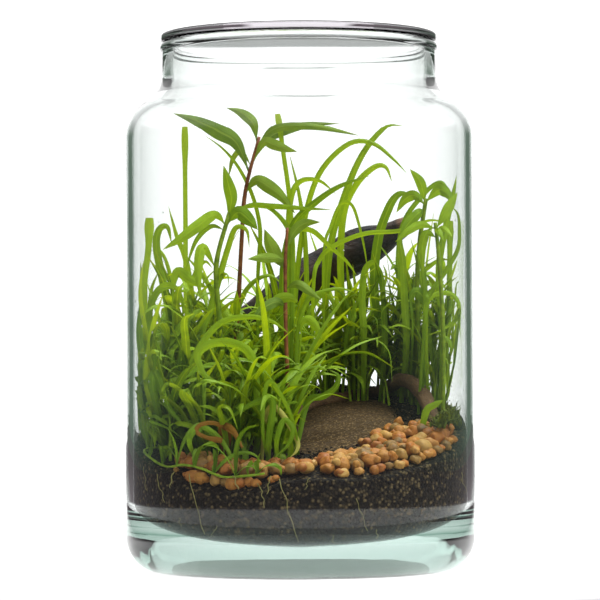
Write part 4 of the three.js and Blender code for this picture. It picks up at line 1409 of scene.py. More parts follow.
LEAF_FINISHES = (
    LeafFinish(
        "grass", (0.03, 0.085, 0.001, 1), (0.36, 0.49, 0.01, 1), (0.42, 0.54, 0.03, 1),
        (0.19, 0.33, 0.02, 1), (0.36, 0.42, 0.015, 1), 24.0,
    ),
    LeafFinish(
        "undergrowth", (0.026, 0.078, 0.001, 1), (0.37, 0.51, 0.006, 1), (0.38, 0.5, 0.015, 1),
        (0.19, 0.32, 0.015, 1), (0.34, 0.38, 0.01, 1), 18.0,
    ),
    LeafFinish(
        "dark leaf", (0.03, 0.08, 0.003, 1), (0.27, 0.38, 0.025, 1), (0.36, 0.44, 0.07, 1),
        (0.13, 0.21, 0.03, 1), (0.22, 0.24, 0.02, 1), 30.0, 0.28,
    ),
    LeafFinish(
        "withered leaf", (0.14, 0.045, 0.005, 1), (0.38, 0.18, 0.015, 1), (0.42, 0.22, 0.03, 1),
        (0.25, 0.11, 0.015, 1), (0.12, 0.035, 0.006, 1), 20.0, 0.25, 0.6,
    ),
    LeafFinish(
        "pale blade", (0.14, 0.16, 0.01, 1), (0.52, 0.46, 0.1, 1), (0.6, 0.52, 0.16, 1),
        (0.36, 0.32, 0.08, 1), (0.4, 0.26, 0.05, 1), 20.0, 0.3, 0.5,
    ),
    LeafFinish(
        "moss", (0.02, 0.03, 0.002, 1), (0.16, 0.19, 0.012, 1), (0.2, 0.22, 0.02, 1),
        (0.08, 0.1, 0.01, 1), (0.22, 0.15, 0.03, 1), 12.0, 0.3, 0.6,
    ),
)
LEAF_SHEEN = (0.8, 1.0, 0.3, 1)
LIGHT_THROUGH_LEAF = (1.4, 1.2, 0.4, 1)


@dataclass(frozen=True)
class GrainFinish:
    """Colours of loose ground."""

    name: str
    dark: Colour
    light: Colour
    fleck: Colour
    scale: float
    bump: float
    roughness: float
    # The haze colour and its share paint a pale veil of light over the soil where it lies low against the
    # glass (painted light).
    painted_haze: Colour = (0, 0, 0, 1)
    painted_haze_share: float = 0.0


GRAIN_FINISHES = (
    GrainFinish(
        "soil", (0.0008, 0.0006, 0.0004, 1), (0.036, 0.026, 0.013, 1), (0.12, 0.084, 0.036, 1),
        760.0, 1.0, 0.85, (0.013, 0.009, 0.01, 1), 0.4,
    ),
    GrainFinish(
        "sand", (0.028, 0.016, 0.006, 1), (0.1, 0.06, 0.023, 1), (0.2, 0.125, 0.05, 1), 1500.0, 0.3, 0.85
    ),
)


@dataclass(frozen=True)
class WoodFinish:
    """Colours of wood."""

    name: str
    dark: Colour
    light: Colour
    patch: Colour
    length: float
    roughness: float


WOOD_FINISHES = (
    WoodFinish(
        "driftwood", (0.0015, 0.0014, 0.0017, 1), (0.017, 0.014, 0.015, 1), (0.06, 0.026, 0.014, 1), 9.0, 0.42
    ),
    WoodFinish("root", (0.025, 0.012, 0.005, 1), (0.13, 0.07, 0.03, 1), (0.19, 0.11, 0.055, 1), 30.0, 0.6),
)
BROKEN_WOOD = (0.16, 0.075, 0.04, 1)


@dataclass(frozen=True)
class PebbleFinish:
    """Colours of pebbles: one for each tone, and those of their clouds and specks."""

    name: str
    tones: tuple[tuple[float, Colour], ...]
    cloud: Colour
    speck: Colour


PEBBLE_FINISH = PebbleFinish(
    "pebble",
    (
        (0.0, (0.17, 0.042, 0.004, 1)), (0.2, (0.26, 0.078, 0.006, 1)), (0.4, (0.26, 0.11, 0.014, 1)),
        (0.6, (0.2, 0.052, 0.008, 1)), (0.78, (0.34, 0.19, 0.045, 1)), (0.92, (0.1, 0.054, 0.014, 1)),
    ),
    (0.34, 0.17, 0.035, 1),
    (0.15, 0.05, 0.018, 1),
)


@dataclass(frozen=True)
class StemFinish:
    """Colours of a stem or a thread."""

    name: str
    dark: Colour
    light: Colour


STEM_FINISHES = (
    StemFinish("red stem", (0.09, 0.02, 0.008, 1), (0.24, 0.09, 0.025, 1)),
    StemFinish("green stem", (0.08, 0.14, 0.004, 1), (0.21, 0.29, 0.012, 1)),
    StemFinish("root thread", (0.1, 0.09, 0.02, 1), (0.24, 0.21, 0.07, 1)),
)


@dataclass(frozen=True)
class GlassFinish:
    """A glass: how much light it soaks up to the metre, the colour it keeps and its foot's tint."""

    name: str
    density: float
    keeps: Colour
    foot: Colour = (0.76, 0.87, 0.84, 1)
    lamp: Colour = (0.97, 0.985, 0.98, 1)
    ior: float = 1.5


@dataclass(frozen=True)
class WaterFinish:
    """Clear water."""

    name: str = "water"
    ior: float = 1.33


GLASS_FINISHES = (
    GlassFinish("jar glass", 20.0, (0.28, 0.54, 0.44, 1)),
    GlassFinish("lid glass", 4.0, (0.45, 0.35, 0.47, 1)),
)


@dataclass
class Finishes:
    """Every material of the scene."""

    made: dict[str, Material] = field(default_factory=dict)
    groups: dict[str, bpy.types.NodeTree] = field(default_factory=dict)

    def __post_init__(self) -> None:
        """Makes the node groups and then the materials."""
        self.groups = {"leaf": leaf_group(), "grain": grain_group(), "bark": bark_group()}
        kinds = (
            (self._leaf, LEAF_FINISHES), (self._grain, GRAIN_FINISHES), (self._wood, WOOD_FINISHES),
            (self._pebble, (PEBBLE_FINISH,)), (self._glass, GLASS_FINISHES), (self._water, (WaterFinish(),)),
            (self._stem, STEM_FINISHES),
        )
        for make, finishes in kinds:
            for finish in finishes:
                self.made[finish.name] = make(finish)

    def __getitem__(self, name: str) -> Material:
        """Gives the material of a name."""
        return self.made[name]

    def _use(self, graph: Graph, name: str, inputs: dict[str, object]) -> Node:
        """Puts one of the groups into a graph and feeds it."""
        return graph.fill(graph.add("ShaderNodeGroup", node_tree=self.groups[name]), inputs)

    @staticmethod
    def _solid(graph: Graph, colour: Socket, roughness: object, gloss: float, normal: Socket) -> Node:
        """Adds the shader of a surface that isn't clear."""
        inputs = {"Base Color": colour, "Roughness": roughness, "Specular IOR Level": gloss, "Normal": normal}
        return graph.add("ShaderNodeBsdfPrincipled", inputs)

    @staticmethod
    def _clear(graph: Graph, inputs: dict[str, object], lamp: Colour, passing: Socket) -> Socket:
        """Adds the shader of glass or water, which some light passes straight through.

        Args:
            graph: The material's graph.
            inputs: The shader's colour, bend of light and normal.
            lamp: The colour of the light that passes.
            passing: Which light passes.

        Returns:
            The shader's socket.
        """
        inputs = {"Roughness": 0.0, "Transmission Weight": 1.0, **inputs}
        clear = graph.add("ShaderNodeBsdfPrincipled", inputs)
        return graph.blended(passing, clear, graph.add("ShaderNodeBsdfTransparent", {"Color": lamp}))

    def _leaf(self, finish: LeafFinish) -> Material:
        """Makes a leaf's material, which lets some light through.

        Args:
            finish: The kind of leaf.

        Returns:
            The material.
        """
        material, graph, out = new_material(finish.name)
        tone, along, across = (graph.value(title) for title in ("tone", "along", "across"))
        pattern = self._use(graph, "leaf", {"Across": across, "Veins": finish.veins}).outputs
        mottle = graph.scaled(pattern["Mottle"], 0.26)
        blend = graph.math("ADD", graph.span(tone, 0.0, 1.0, -0.08, 0.82), mottle)
        colour = graph.mix(blend, finish.deep, finish.bright)
        colour = graph.mix(graph.scaled(pattern["Vein"], 0.22), colour, finish.bright)
        colour = graph.mix(graph.scaled(pattern["Rib"], 0.55), colour, finish.rib)
        colour = graph.mix(graph.span(along, 0.9, 1.0, 0.0, 0.6), colour, finish.tip)
        # Darker towards the foot of each blade.
        colour = graph.mix(graph.span(along, 0.0, 0.3, 0.55, 0.0), colour, finish.deep)
        # Painted shade: leaves low in the jar, below about 12 cm, are darkened towards the deep colour, as if
        # shaded by the plants above.
        low = graph.split(graph.where())[2]
        colour = graph.mix(graph.span(low, 0.05, 0.12, 0.72, 0.0), colour, finish.deep)
        behind = graph.add("ShaderNodeNewGeometry").outputs["Backfacing"]
        colour = graph.mix(graph.scaled(behind, 0.75), colour, graph.mix(0.35, finish.back, colour))
        normal = graph.relief(pattern["Height"], 0.35, 0.0002)
        roughness = graph.span(pattern["Mottle"], 0.0, 1.0, finish.roughness, finish.roughness + 0.14)
        shine = self._solid(graph, colour, roughness, 0.32, normal)
        graph.feed(shine.inputs["Specular Tint"], LEAF_SHEEN)
        glow = graph.mix(1.0, colour, LIGHT_THROUGH_LEAF, "MULTIPLY")
        through = graph.add("ShaderNodeBsdfTranslucent", {"Color": glow, "Normal": normal})
        graph.feed(out.inputs["Surface"], graph.blended(finish.through, shine, through))
        return material

    def _grain(self, finish: GrainFinish) -> Material:
        """Makes the material of loose ground, with a painted haze of light where it lies low against the
        glass.

        Args:
            finish: The kind of ground.

        Returns:
            The material.
        """
        material, graph, out = new_material(finish.name)
        grains = self._use(graph, "grain", {"Scale": finish.scale}).outputs
        tone = grains["Tone"]
        colour = graph.mix(graph.span(tone, 0.15, 0.9), finish.dark, finish.light)
        where = graph.where()
        cloud = graph.noise(where, 90.0)
        height = graph.math("ADD", graph.split(where)[2], graph.span(cloud, 0.3, 0.7, -0.008, 0.008))
        # Painted haze of light: low soil is washed towards a pale mauve.
        painted_veil = graph.span(height, 0.012, 0.044, finish.painted_haze_share, 0.0)
        colour = graph.mix(painted_veil, colour, graph.mix(tone, finish.light, finish.painted_haze))
        colour = graph.mix(graph.span(cloud, 0.35, 0.7, 0.45, 0.0), colour, finish.dark)
        colour = graph.mix(graph.span(tone, 0.72, 0.95, 0.0, 0.8), colour, finish.fleck)
        # Painted shade in the gaps between grains.
        colour = graph.mix(graph.span(grains["Height"], 0.5, 0.9, 0.75, 0.0), colour, finish.dark)
        # A second, stronger painted haze of light, lower down.
        painted_veil = graph.span(height, 0.016, 0.032, 1.5 * finish.painted_haze_share, 0.0)
        colour = graph.mix(painted_veil, colour, finish.painted_haze)
        least, most = finish.roughness - 0.12, finish.roughness + 0.15
        roughness = graph.span(grains["Fine"], 0.3, 0.7, least, most)
        normal = graph.relief(grains["Height"], finish.bump, 0.0009)
        shine = self._solid(graph, colour, roughness, 0.12, normal)
        graph.feed(out.inputs["Surface"], shine.outputs[0])
        return material

    def _pebble(self, finish: PebbleFinish) -> Material:
        """Makes the pebbles' material, which gives each its own tone.

        Args:
            finish: The pebbles' colours.

        Returns:
            The material.
        """
        material, graph, out = new_material(finish.name)
        ramp = graph.add("ShaderNodeValToRGB", {0: graph.value("tone")})
        elements = ramp.color_ramp.elements
        elements[0].position, elements[0].color = finish.tones[0]
        elements[1].position, elements[1].color = finish.tones[-1]
        for position, colour in finish.tones[1:-1]:
            elements.new(position).color = colour
        grains = self._use(graph, "grain", {"Scale": 1500.0}).outputs
        cloud = graph.noise(graph.where(), 330.0, 5.0)
        colour = graph.mix(graph.span(cloud, 0.35, 0.7, 0.0, 0.4), ramp.outputs[0], finish.cloud)
        colour = graph.mix(graph.span(grains["Tone"], 0.8, 0.95, 0.0, 0.35), colour, finish.speck)
        height = graph.math("ADD", cloud, graph.scaled(grains["Height"], 0.3))
        roughness = graph.span(cloud, 0.3, 0.7, 0.45, 0.7)
        shine = self._solid(graph, colour, roughness, 0.2, graph.relief(height, 0.5, 0.0006))
        graph.feed(out.inputs["Surface"], shine.outputs[0])
        return material

    def _wood(self, finish: WoodFinish) -> Material:
        """Makes a wood's material, paler where it is broken.

        Args:
            finish: The kind of wood.

        Returns:
            The material.
        """
        material, graph, out = new_material(finish.name)
        way = {"Along": graph.value("along"), "Around": graph.value("across"), "Length": finish.length}
        bark = self._use(graph, "bark", way).outputs
        colour = graph.mix(bark["Fibre"], finish.dark, finish.light)
        colour = graph.mix(graph.scaled(bark["Patch"], 0.5), colour, finish.patch)
        colour = graph.mix(graph.span(graph.value("tone"), 0.6, 0.9, 0.0, 0.8), colour, BROKEN_WOOD)
        roughness = graph.span(bark["Fibre"], 0.0, 1.0, finish.roughness, finish.roughness + 0.25)
        shine = self._solid(graph, colour, roughness, 0.2, graph.relief(bark["Height"], 0.8, 0.0012))
        graph.feed(out.inputs["Surface"], shine.outputs[0])
        return material

    def _stem(self, finish: StemFinish) -> Material:
        """Makes a stem's material, with a dark ring at each joint.

        Args:
            finish: The stem's colours.

        Returns:
            The material.
        """
        material, graph, out = new_material(finish.name)
        cloud = graph.noise(graph.where(), 300.0, 5.0)
        colour = graph.mix(graph.span(cloud, 0.3, 0.7), finish.dark, finish.light)
        ring = graph.math("ABSOLUTE", graph.math("SINE", graph.scaled(graph.value("along"), 18.0)))
        colour = graph.mix(graph.span(ring, 0.0, 0.12, 0.6, 0.0), colour, finish.dark)
        shine = self._solid(graph, colour, 0.5, 0.15, graph.relief(cloud, 0.4, 0.0003))
        graph.feed(out.inputs["Surface"], shine.outputs[0])
        return material

    def _glass(self, finish: GlassFinish) -> Material:
        """Makes a glass, wavy and tinted at its foot, that lets lamp light through.

        Args:
            finish: The kind of glass.

        Returns:
            The material.
        """
        material, graph, out = new_material(finish.name)
        where = graph.where()
        height = graph.split(where)[2]
        strength = graph.span(height, 0.008, 0.02, 0.5, 0.04)
        normal = graph.relief(graph.noise(where, 26.0, 2.0), strength, 0.0012)
        tint = graph.mix(graph.span(height, 0.012, 0.024), finish.foot, WHITE)
        path = graph.add("ShaderNodeLightPath").outputs
        passing = graph.math("MAXIMUM", path["Is Shadow Ray"], path["Is Diffuse Ray"])
        inputs = {"Base Color": tint, "IOR": finish.ior, "Normal": normal}
        graph.feed(out.inputs["Surface"], self._clear(graph, inputs, finish.lamp, passing))
        soak = graph.add("ShaderNodeVolumeAbsorption", {"Color": finish.keeps, "Density": finish.density})
        graph.feed(out.inputs["Volume"], soak.outputs[0])
        return material

    def _water(self, finish: WaterFinish) -> Material:
        """Makes clear water with a slight tremble.

        Args:
            finish: The water.

        Returns:
            The material.
        """
        material, graph, out = new_material(finish.name)
        normal = graph.relief(graph.noise(graph.where(), 900.0, 2.0), 0.05, 0.0001)
        passing = graph.add("ShaderNodeLightPath").outputs["Is Shadow Ray"]
        inputs = {"Base Color": WHITE, "IOR": finish.ior, "Normal": normal}
        graph.feed(out.inputs["Surface"], self._clear(graph, inputs, WHITE, passing))
        return material


# Sub-assemblies


def arc(centre: tuple[float, float], radius: float, start: float, end: float, steps: int) -> Outline:
    """Points on an arc in the profile plane."""
    angles = np.radians(np.linspace(start, end, steps + 1))
    return [(centre[0] + radius * math.cos(angle), centre[1] + radius * math.sin(angle)) for angle in angles]


def rounded(corners: Sequence[Point], steps: int = 14) -> Outline:
    """An outline with its corners rounded.

    Args:
        corners: Radius, height and rounding of each corner.
        steps: Steps in each rounding.

    Returns:
        The outline's points.
    """
    found = [corners[0][:2]]
    for before, corner, after in zip(corners, corners[1:], corners[2:]):
        here = np.array(corner[:2], dtype=float)
        back, forth = unit(before[:2] - here), unit(after[:2] - here)
        half_turn = (math.pi - math.acos(float(back @ forth))) / 2
        centre = here + unit(back + forth) * corner[2] / math.cos(half_turn)
        first, last = (here + way * corner[2] * math.tan(half_turn) - centre for way in (back, forth))
        start = math.atan2(first[1], first[0])
        sweep = (math.atan2(last[1], last[0]) - start + math.pi) % FULL_TURN - math.pi
        found += arc(tuple(centre), corner[2], math.degrees(start), math.degrees(start + sweep), steps)
    return [*found, corners[-1][:2]]


@dataclass
class Glassware:
    """The jar and the lid that rests on it, in millimetres."""

    finishes: Finishes
    base_corner: float = 16.0
    shoulder_slope: float = math.radians(40)
    shoulder_round: float = 20.0
    neck_radius: float = 62.8
    neck_wall: float = 3.8
    neck_ease: float = 0.5
    neck_corner: float = 221.6
    neck_fillet: float = 8.0
    mouth_height: float = 242.2
    mouth_round: float = 1.2
    bead_radius: float = 64.0
    bead_height: float = 4.6
    bead_overlap: float = 0.2
    lid_radius: float = 63.6
    lid_thickness: float = 3.7
    lid_step: float = 1.2
    lid_ease: float = 1.4
    lid_edge: float = 1.3
    sides: int = 180
    sharp: float = math.radians(38)

    def _lathe(self, profile: Outline) -> Surface:
        """Turns a profile, which begins and ends on the axis, about the axis.

        Args:
            profile: Radius and height of each point.

        Returns:
            The closed surface.
        """
        angles = np.arange(self.sides) / self.sides * FULL_TURN
        rings = [[(*on_ring(radius, angle), height) for angle in angles] for radius, height in profile[1:-1]]
        return closed_body(rings, [(0, 0, profile[0][1]), (0, 0, profile[-1][1])])

    def jar_profile(self) -> Outline:
        """The jar's outline, outside from the base up and then inside down.

        Returns:
            Radius and height of each point.
        """
        mouth = self.neck_radius - self.neck_wall
        neck = self.neck_radius + self.neck_ease
        bead_foot = self.mouth_height - self.bead_height
        rise = math.tan(self.shoulder_slope)
        under = self.neck_corner - WALL / math.cos(self.shoulder_slope)
        outside = rounded((
            (0, 0, 0), (BODY_RADIUS, 0, self.base_corner),
            (BODY_RADIUS, self.neck_corner - (BODY_RADIUS - neck) * rise, self.shoulder_round),
            (neck, self.neck_corner, self.neck_fillet),
            (self.neck_radius + self.bead_overlap, bead_foot - self.bead_overlap, 0),
        ))
        inside = rounded((
            (mouth, bead_foot, 0), (mouth, under + (neck - mouth) * rise, self.neck_fillet + self.neck_wall),
            (INSIDE, under + (neck - INSIDE) * rise, self.shoulder_round - WALL),
            (INSIDE, BASE_THICKNESS, INNER_CORNER), (0, BASE_THICKNESS, 0),
        ))
        bead_round = self.bead_height / 2
        bead = arc((self.bead_radius - bead_round, self.mouth_height - bead_round), bead_round, -50, 90, 12)
        lip_centre = (mouth + self.mouth_round, self.mouth_height - self.mouth_round)
        return [*outside, *bead, *arc(lip_centre, self.mouth_round, 90, 180, 5), *inside]

    def lid_profile(self) -> Outline:
        """The lid's outline, from its underside's middle out and back over the top.

        Returns:
            Radius and height of each point.
        """
        seat = self.mouth_height + GAP
        top = seat + self.lid_thickness
        step = self.neck_radius - self.neck_wall - self.lid_ease
        edge = self.lid_radius - self.lid_edge
        return [
            (0.0, seat - self.lid_step), (step - self.lid_step, seat - self.lid_step), (step, seat),
            *arc((edge, seat + self.lid_edge), self.lid_edge, -90, 0, 5),
            *arc((edge, top - self.lid_edge), self.lid_edge, 0, 90, 5), (0.0, top),
        ]

    def build(self) -> None:
        """Makes both pieces."""
        profiles = {"glass_jar": self.jar_profile(), "glass_lid": self.lid_profile()}
        for (node, profile), finish in zip(profiles.items(), GLASS_FINISHES):
            obj = place(self._lathe(profile), f"fine_{node}", [self.finishes[finish.name]], "glass", [node])
            obj.data.set_sharp_from_angle(angle=self.sharp)


def rough(point: Sequence[float], scale: float, seed: float = 0.0) -> float:
    """Smooth noise at a place."""
    return noise.noise(Vector((point[0] * scale + seed, point[1] * scale - seed, point[2] * scale)))


def soil_edge(height: float) -> float:
    """How far out the soil reaches."""
    drop = max(0.0, SOIL_FLOOR + SOIL_CORNER - height)
    return SOIL_RADIUS - SOIL_CORNER + math.sqrt(max(0.0, SOIL_CORNER * SOIL_CORNER - drop * drop))


def soil_dip(x: float, y: float) -> float:
    """How far the soil sinks along the glass, where the gravel has slid down.

    Args:
        x: Place to the right.
        y: Place to the back.

    Returns:
        The depth in millimetres.
    """
    angle = bearing_of(x, y)
    inward = max(0.0, 1 - (INSIDE - math.hypot(x, y)) / 10)
    left = math.exp(-(((angle - 241) / 20) ** 4))
    right = math.exp(-(((angle - 312) / 30) ** 4))
    return inward * (6.5 * left + 3.5 * right)


@dataclass
class Ground:
    """Soil, its loose grains, the sand patch and the gravel, in millimetres."""

    finishes: Finishes
    seed: int = 611
    soil_sides: int = 260
    soil_floor_rings: tuple[float, ...] = (20.0, 45.0)
    wall_rows: int = 16
    top_rows: int = 58
    sand_sides: int = 120
    grain_count: int = 3600
    quick_grain_count: int = 700
    small_pebble_reach: float = 3.6
    slid_ring: float = 72.4
    spill_count: int = 60
    fineness: int = 2

    def _soil(self) -> None:
        """The bed of soil, granular on top and against the glass."""
        turn = np.arange(self.soil_sides) / self.soil_sides * FULL_TURN
        low = SOIL_FLOOR + SOIL_CORNER
        foot = [(out, SOIL_FLOOR) for out in self.soil_floor_rings]
        foot += arc((SOIL_RADIUS - SOIL_CORNER, low), SOIL_CORNER, -90, 0, 10)
        rings = [[(*on_ring(out, angle), height) for angle in turn] for out, height in foot]
        for step in range(1, self.wall_rows + 1):
            ring = []
            for angle in turn:
                x, y = on_ring(SOIL_RADIUS, angle)
                crest = ground_height(x, y) - soil_dip(x, y) - 0.5 + 0.9 * rough((x, y, 0), 0.4)
                ring.append((x, y, low + (crest - low) * step / self.wall_rows))
            rings.append(ring)
        for out in np.linspace(SOIL_RADIUS - 0.8, 2.0, self.top_rows):
            ring = []
            for angle in turn:
                x, y = on_ring(out, angle)
                lift = 0.45 * rough((x, y, 0), 0.7) + 0.35 * rough((x, y, 7), 0.16)
                ring.append((x, y, ground_height(x, y) - soil_dip(x, y) - 0.3 + lift))
            rings.append(ring)
        surface = closed_body(rings, [(0, 0, SOIL_FLOOR), on_ground(0, 0)])
        place(surface, "fine_soil", [self.finishes["soil"]], "soil", ["soil"])

    def _grains(self) -> None:
        """Loose soil grains on the bed and along its edge."""
        source = RandomSource(self.seed)
        surface = Surface()
        for _ in range(self.grain_count):
            angle = source.bearing()
            out = 75.2 * math.sqrt(source.draw()) if source.draw() < 0.7 else 73.5 + 2 * source.draw()
            x, y = on_ring(out, angle)
            beyond = math.hypot((x - SAND_CENTRE[0]) / SAND_REACH[0], (y - SAND_CENTRE[1]) / SAND_REACH[1])
            if cover_height(x, y) > ground_height(x, y) + 1 and not 0.7 < beyond < 1.15:
                continue
            size = 0.45 + 0.55 * source.draw()
            add_stone(surface, on_ground(x, y, size * 0.3), size, source, 0, 0.25)
        place(surface, "soil_grains", [self.finishes["soil"]], "soil")

    def _sand(self) -> None:
        """The low dome of sand."""
        turn = np.arange(self.sand_sides) / self.sand_sides * FULL_TURN
        rings = []
        for reach in (1.32, 1.16, *np.linspace(1.0, 0.04, 30)):
            lift = SAND_EDGE + (SAND_DOME - SAND_EDGE) * (1 - reach * reach)
            lift = min(lift, SAND_EDGE - (reach - 1) * 6) if reach > 1 else lift
            ring = []
            for angle in turn:
                edge = 1 + 0.3 * reach * rough((*on_ring(9, angle), 5), 0.13)
                x = SAND_CENTRE[0] + SAND_REACH[0] * reach * edge * math.cos(angle)
                y = SAND_CENTRE[1] + SAND_REACH[1] * reach * edge * math.sin(angle)
                bump = 0.25 * rough((x, y, 3), 0.35) + 0.12 * rough((x, y, 9), 1.4)
                ring.append((x, y, ground_height(x, y) + GAP + lift + bump))
            rings.append(ring)
        surface = closed_body(rings, [on_ground(*SAND_CENTRE, GAP + SAND_DOME)])
        place(surface, "fine_sand", [self.finishes["sand"]], "sand", ["sand_patch"])

    def _laid(self, surface: Surface, pebbles: Iterable[Pebble], source: RandomSource) -> None:
        """Adds the large pebbles of a stretch, each with two small ones beside it.

        Args:
            surface: The stretch's surface.
            pebbles: The large pebbles.
            source: The random source.
        """
        for pebble in pebbles:
            x, y, z = pebble.centre
            radius = pebble.radius * (0.8 + 0.22 * source.draw())
            add_stone(surface, pebble.centre, radius, source, self.fineness, 0.24)
            for _ in range(2):
                beside = on_ring(self.small_pebble_reach, source.bearing())
                near = keep_inside((x + beside[0], y + beside[1], z + 1.6 * (source.draw() - 0.35)), 2.6)
                add_stone(surface, near, 1.3 + 1.3 * source.draw() ** 1.5, source, self.fineness, 0.18)

    def _inner_row(self, surface: Surface, stretch: Stretch, source: RandomSource) -> None:
        """Adds small pebbles along the inner side of a stretch.

        Args:
            surface: The stretch's surface.
            stretch: The stretch.
            source: The random source.
        """
        for _ in range(round((stretch.end - stretch.start) * 0.9)):
            bearing = math.radians(stretch.start + (stretch.end - stretch.start) * source.draw())
            out = GRAVEL_OUTER_ROW - stretch.rows * GRAVEL_ROW_STEP + 4.5 * source.draw() - 0.5
            size = 1.2 + 1.5 * source.draw()
            spot = on_ground(*on_ring(out, bearing), size * (0.5 + 0.7 * source.draw()))
            if clear_of_wood(spot, size):
                add_stone(surface, spot, size, source, self.fineness, 0.2)

    def _slid(self, surface: Surface, stretch: Stretch, source: RandomSource) -> None:
        """Adds the pebbles that have slid down between the soil and the glass.

        Args:
            surface: The stretch's surface.
            stretch: The stretch.
            source: The random source.
        """
        for degrees in np.arange(stretch.start + 2, stretch.end - 1, 3.3):
            x, y = on_ring(self.slid_ring, math.radians(degrees + 2.5 * source.draw()))
            sunk = soil_dip(x, y)
            size = (1.9 + 0.28 * sunk) * (0.62 + 0.6 * source.draw())
            spot = on_ground(x, y, 1.2 - sunk * (0.75 + 0.45 * source.draw()))
            if sunk > 0.8 and clear_of_wood(spot, size):
                add_stone(surface, spot, size, source, self.fineness, 0.16)

    def _spill(self, surface: Surface, source: RandomSource) -> None:
        """Adds the pebbles that spill over the sand at the right.

        Args:
            surface: The stretch's surface.
            source: The random source.
        """
        for _ in range(self.spill_count):
            bearing = math.radians(308 + 42 * source.draw())
            out = 60 - 19 * source.draw() ** 1.4
            size = 1.6 + 1.9 * source.draw()
            spot = on_ground(*on_ring(out, bearing), 0.9 + size * (0.3 + 0.8 * source.draw()))
            if clear_of_wood(spot, size):
                add_stone(surface, spot, size, source, self.fineness, 0.18)

    def _gravel(self) -> None:
        """The pebbles, each stretch one piece."""
        layout = RandomSource(GRAVEL_SEED)
        source = RandomSource(self.seed + 1)
        for stretch in GRAVEL:
            surface = Surface()
            self._laid(surface, pebbles_of(stretch, layout), source)
            self._inner_row(surface, stretch, source)
            self._slid(surface, stretch, source)
            if stretch is GRAVEL[-1]:
                self._spill(surface, source)
            place(surface, f"fine_{stretch.name}", [self.finishes["pebble"]], "gravel", [stretch.name])

    def build(self) -> None:
        """Makes every piece of the ground."""
        self._soil()
        self._grains()
        self._sand()
        self._gravel()


STONE_SHAPES: dict[int, tuple[np.ndarray, np.ndarray]] = {}


def round_shape(level: int) -> tuple[np.ndarray, np.ndarray]:
    """A unit ball of triangles.

    Args:
        level: How many times its faces are split.

    Returns:
        Its points and faces.
    """
    if level not in STONE_SHAPES:
        ball = bmesh.new()
        bmesh.ops.create_icosphere(ball, subdivisions=level + 1, radius=1.0)
        points = np.array([vertex.co[:] for vertex in ball.verts])
        faces = np.array([[vertex.index for vertex in face.verts] for face in ball.faces])
        ball.free()
        STONE_SHAPES[level] = (points, faces)
    return STONE_SHAPES[level]


def add_stone(
    surface: Surface, centre: Sequence[float], radius: float, source: RandomSource, level: int, jag: float
) -> None:
    """Adds a stone: a ball cut by a few flats and roughened.

    Args:
        surface: The piece.
        centre: The stone's centre.
        radius: Its radius.
        source: The random source.
        level: How finely it is drawn.
        jag: How uneven it is.
    """
    points, faces = round_shape(level)
    shaped = points.copy()
    for _ in range(5 if level else 2):
        flat = unit(np.array([[source.draw() - 0.5, source.draw() - 0.5, source.draw() - 0.5]]))[0]
        depth = 0.68 + 0.25 * source.draw()
        over = np.maximum(shaped @ flat - depth, 0)
        shaped = shaped - np.outer(over * 0.92, flat)
    seed = source.draw() * 50
    if level:
        swell = np.array([noise.noise(Vector(point * 1.4) + Vector((seed, 0, 0))) for point in points])
        shaped = shaped * (1 + jag * swell)[:, None]
    stretch = np.array([0.85 + 0.3 * source.draw(), 0.85 + 0.3 * source.draw(), 0.75 + 0.25 * source.draw()])
    cosine, sine = on_ring(1.0, source.bearing())
    x, y, z = (shaped * stretch).T
    shaped = np.stack([x * cosine - y * sine, x * sine + y * cosine, z], axis=1)
    surface.add(shaped * radius + np.asarray(centre), faces, tone=source.draw())


@dataclass
class Woodwork:
    """The driftwood branch and the bowed root."""

    finishes: Finishes
    per_span: int = 5
    sides: int = 32
    splinter_rings: int = 7

    def _piece(self, wood: Wood, name: str, finish: str, node: str, broken_end: bool) -> None:
        """Makes one length of wood.

        Args:
            wood: Its route and radii.
            name: The piece's name.
            finish: Its finish, which is also its slot in the record.
            node: The solid that it replaces.
            broken_end: Whether its far end is splintered and pale.
        """
        path = smooth_route(wood.route, self.per_span)
        radii = np.interp(np.linspace(0, 1, len(path)), np.linspace(0, 1, len(wood.radii)), wood.radii)

        def lumps(ring: int, side: int) -> float:
            """Knots, grooves and splinters.

            Args:
                ring: The ring of points.
                side: The point in it.

            Returns:
                A factor on the radius.
            """
            station = ring / self.per_span
            base = wood_lump(station, side * wood.sides / self.sides)
            knots = 0.06 * rough(tuple(path[ring] + side), 0.2, 5.0)
            angle = side / self.sides * FULL_TURN
            groove = 0.025 * math.sin(angle * 7 + station * 0.9) + 0.02 * math.sin(angle * 13 - station)
            splinter = 0.0
            over = ring - len(path) + self.splinter_rings
            if broken_end and over > 0:
                splinter = -0.12 * abs(math.sin(angle * 4.3)) * over / (self.splinter_rings - 1)
            return base + knots * 0.6 + groove + splinter

        surface = Surface()
        add_tube(surface, path, radii, self.sides, lumps=lumps, tone=0.0)
        if broken_end:
            surface.values["tone"][0] = np.clip((surface.values["along"][0] - 0.86) * 8, 0, 0.85)
        place(surface, name, [self.finishes[finish]], finish, [node])

    def build(self) -> None:
        """Makes both."""
        self._piece(BRANCH, "fine_branch", "driftwood", "driftwood_branch", True)
        self._piece(ARCH, "fine_root", "root", "arched_root", False)


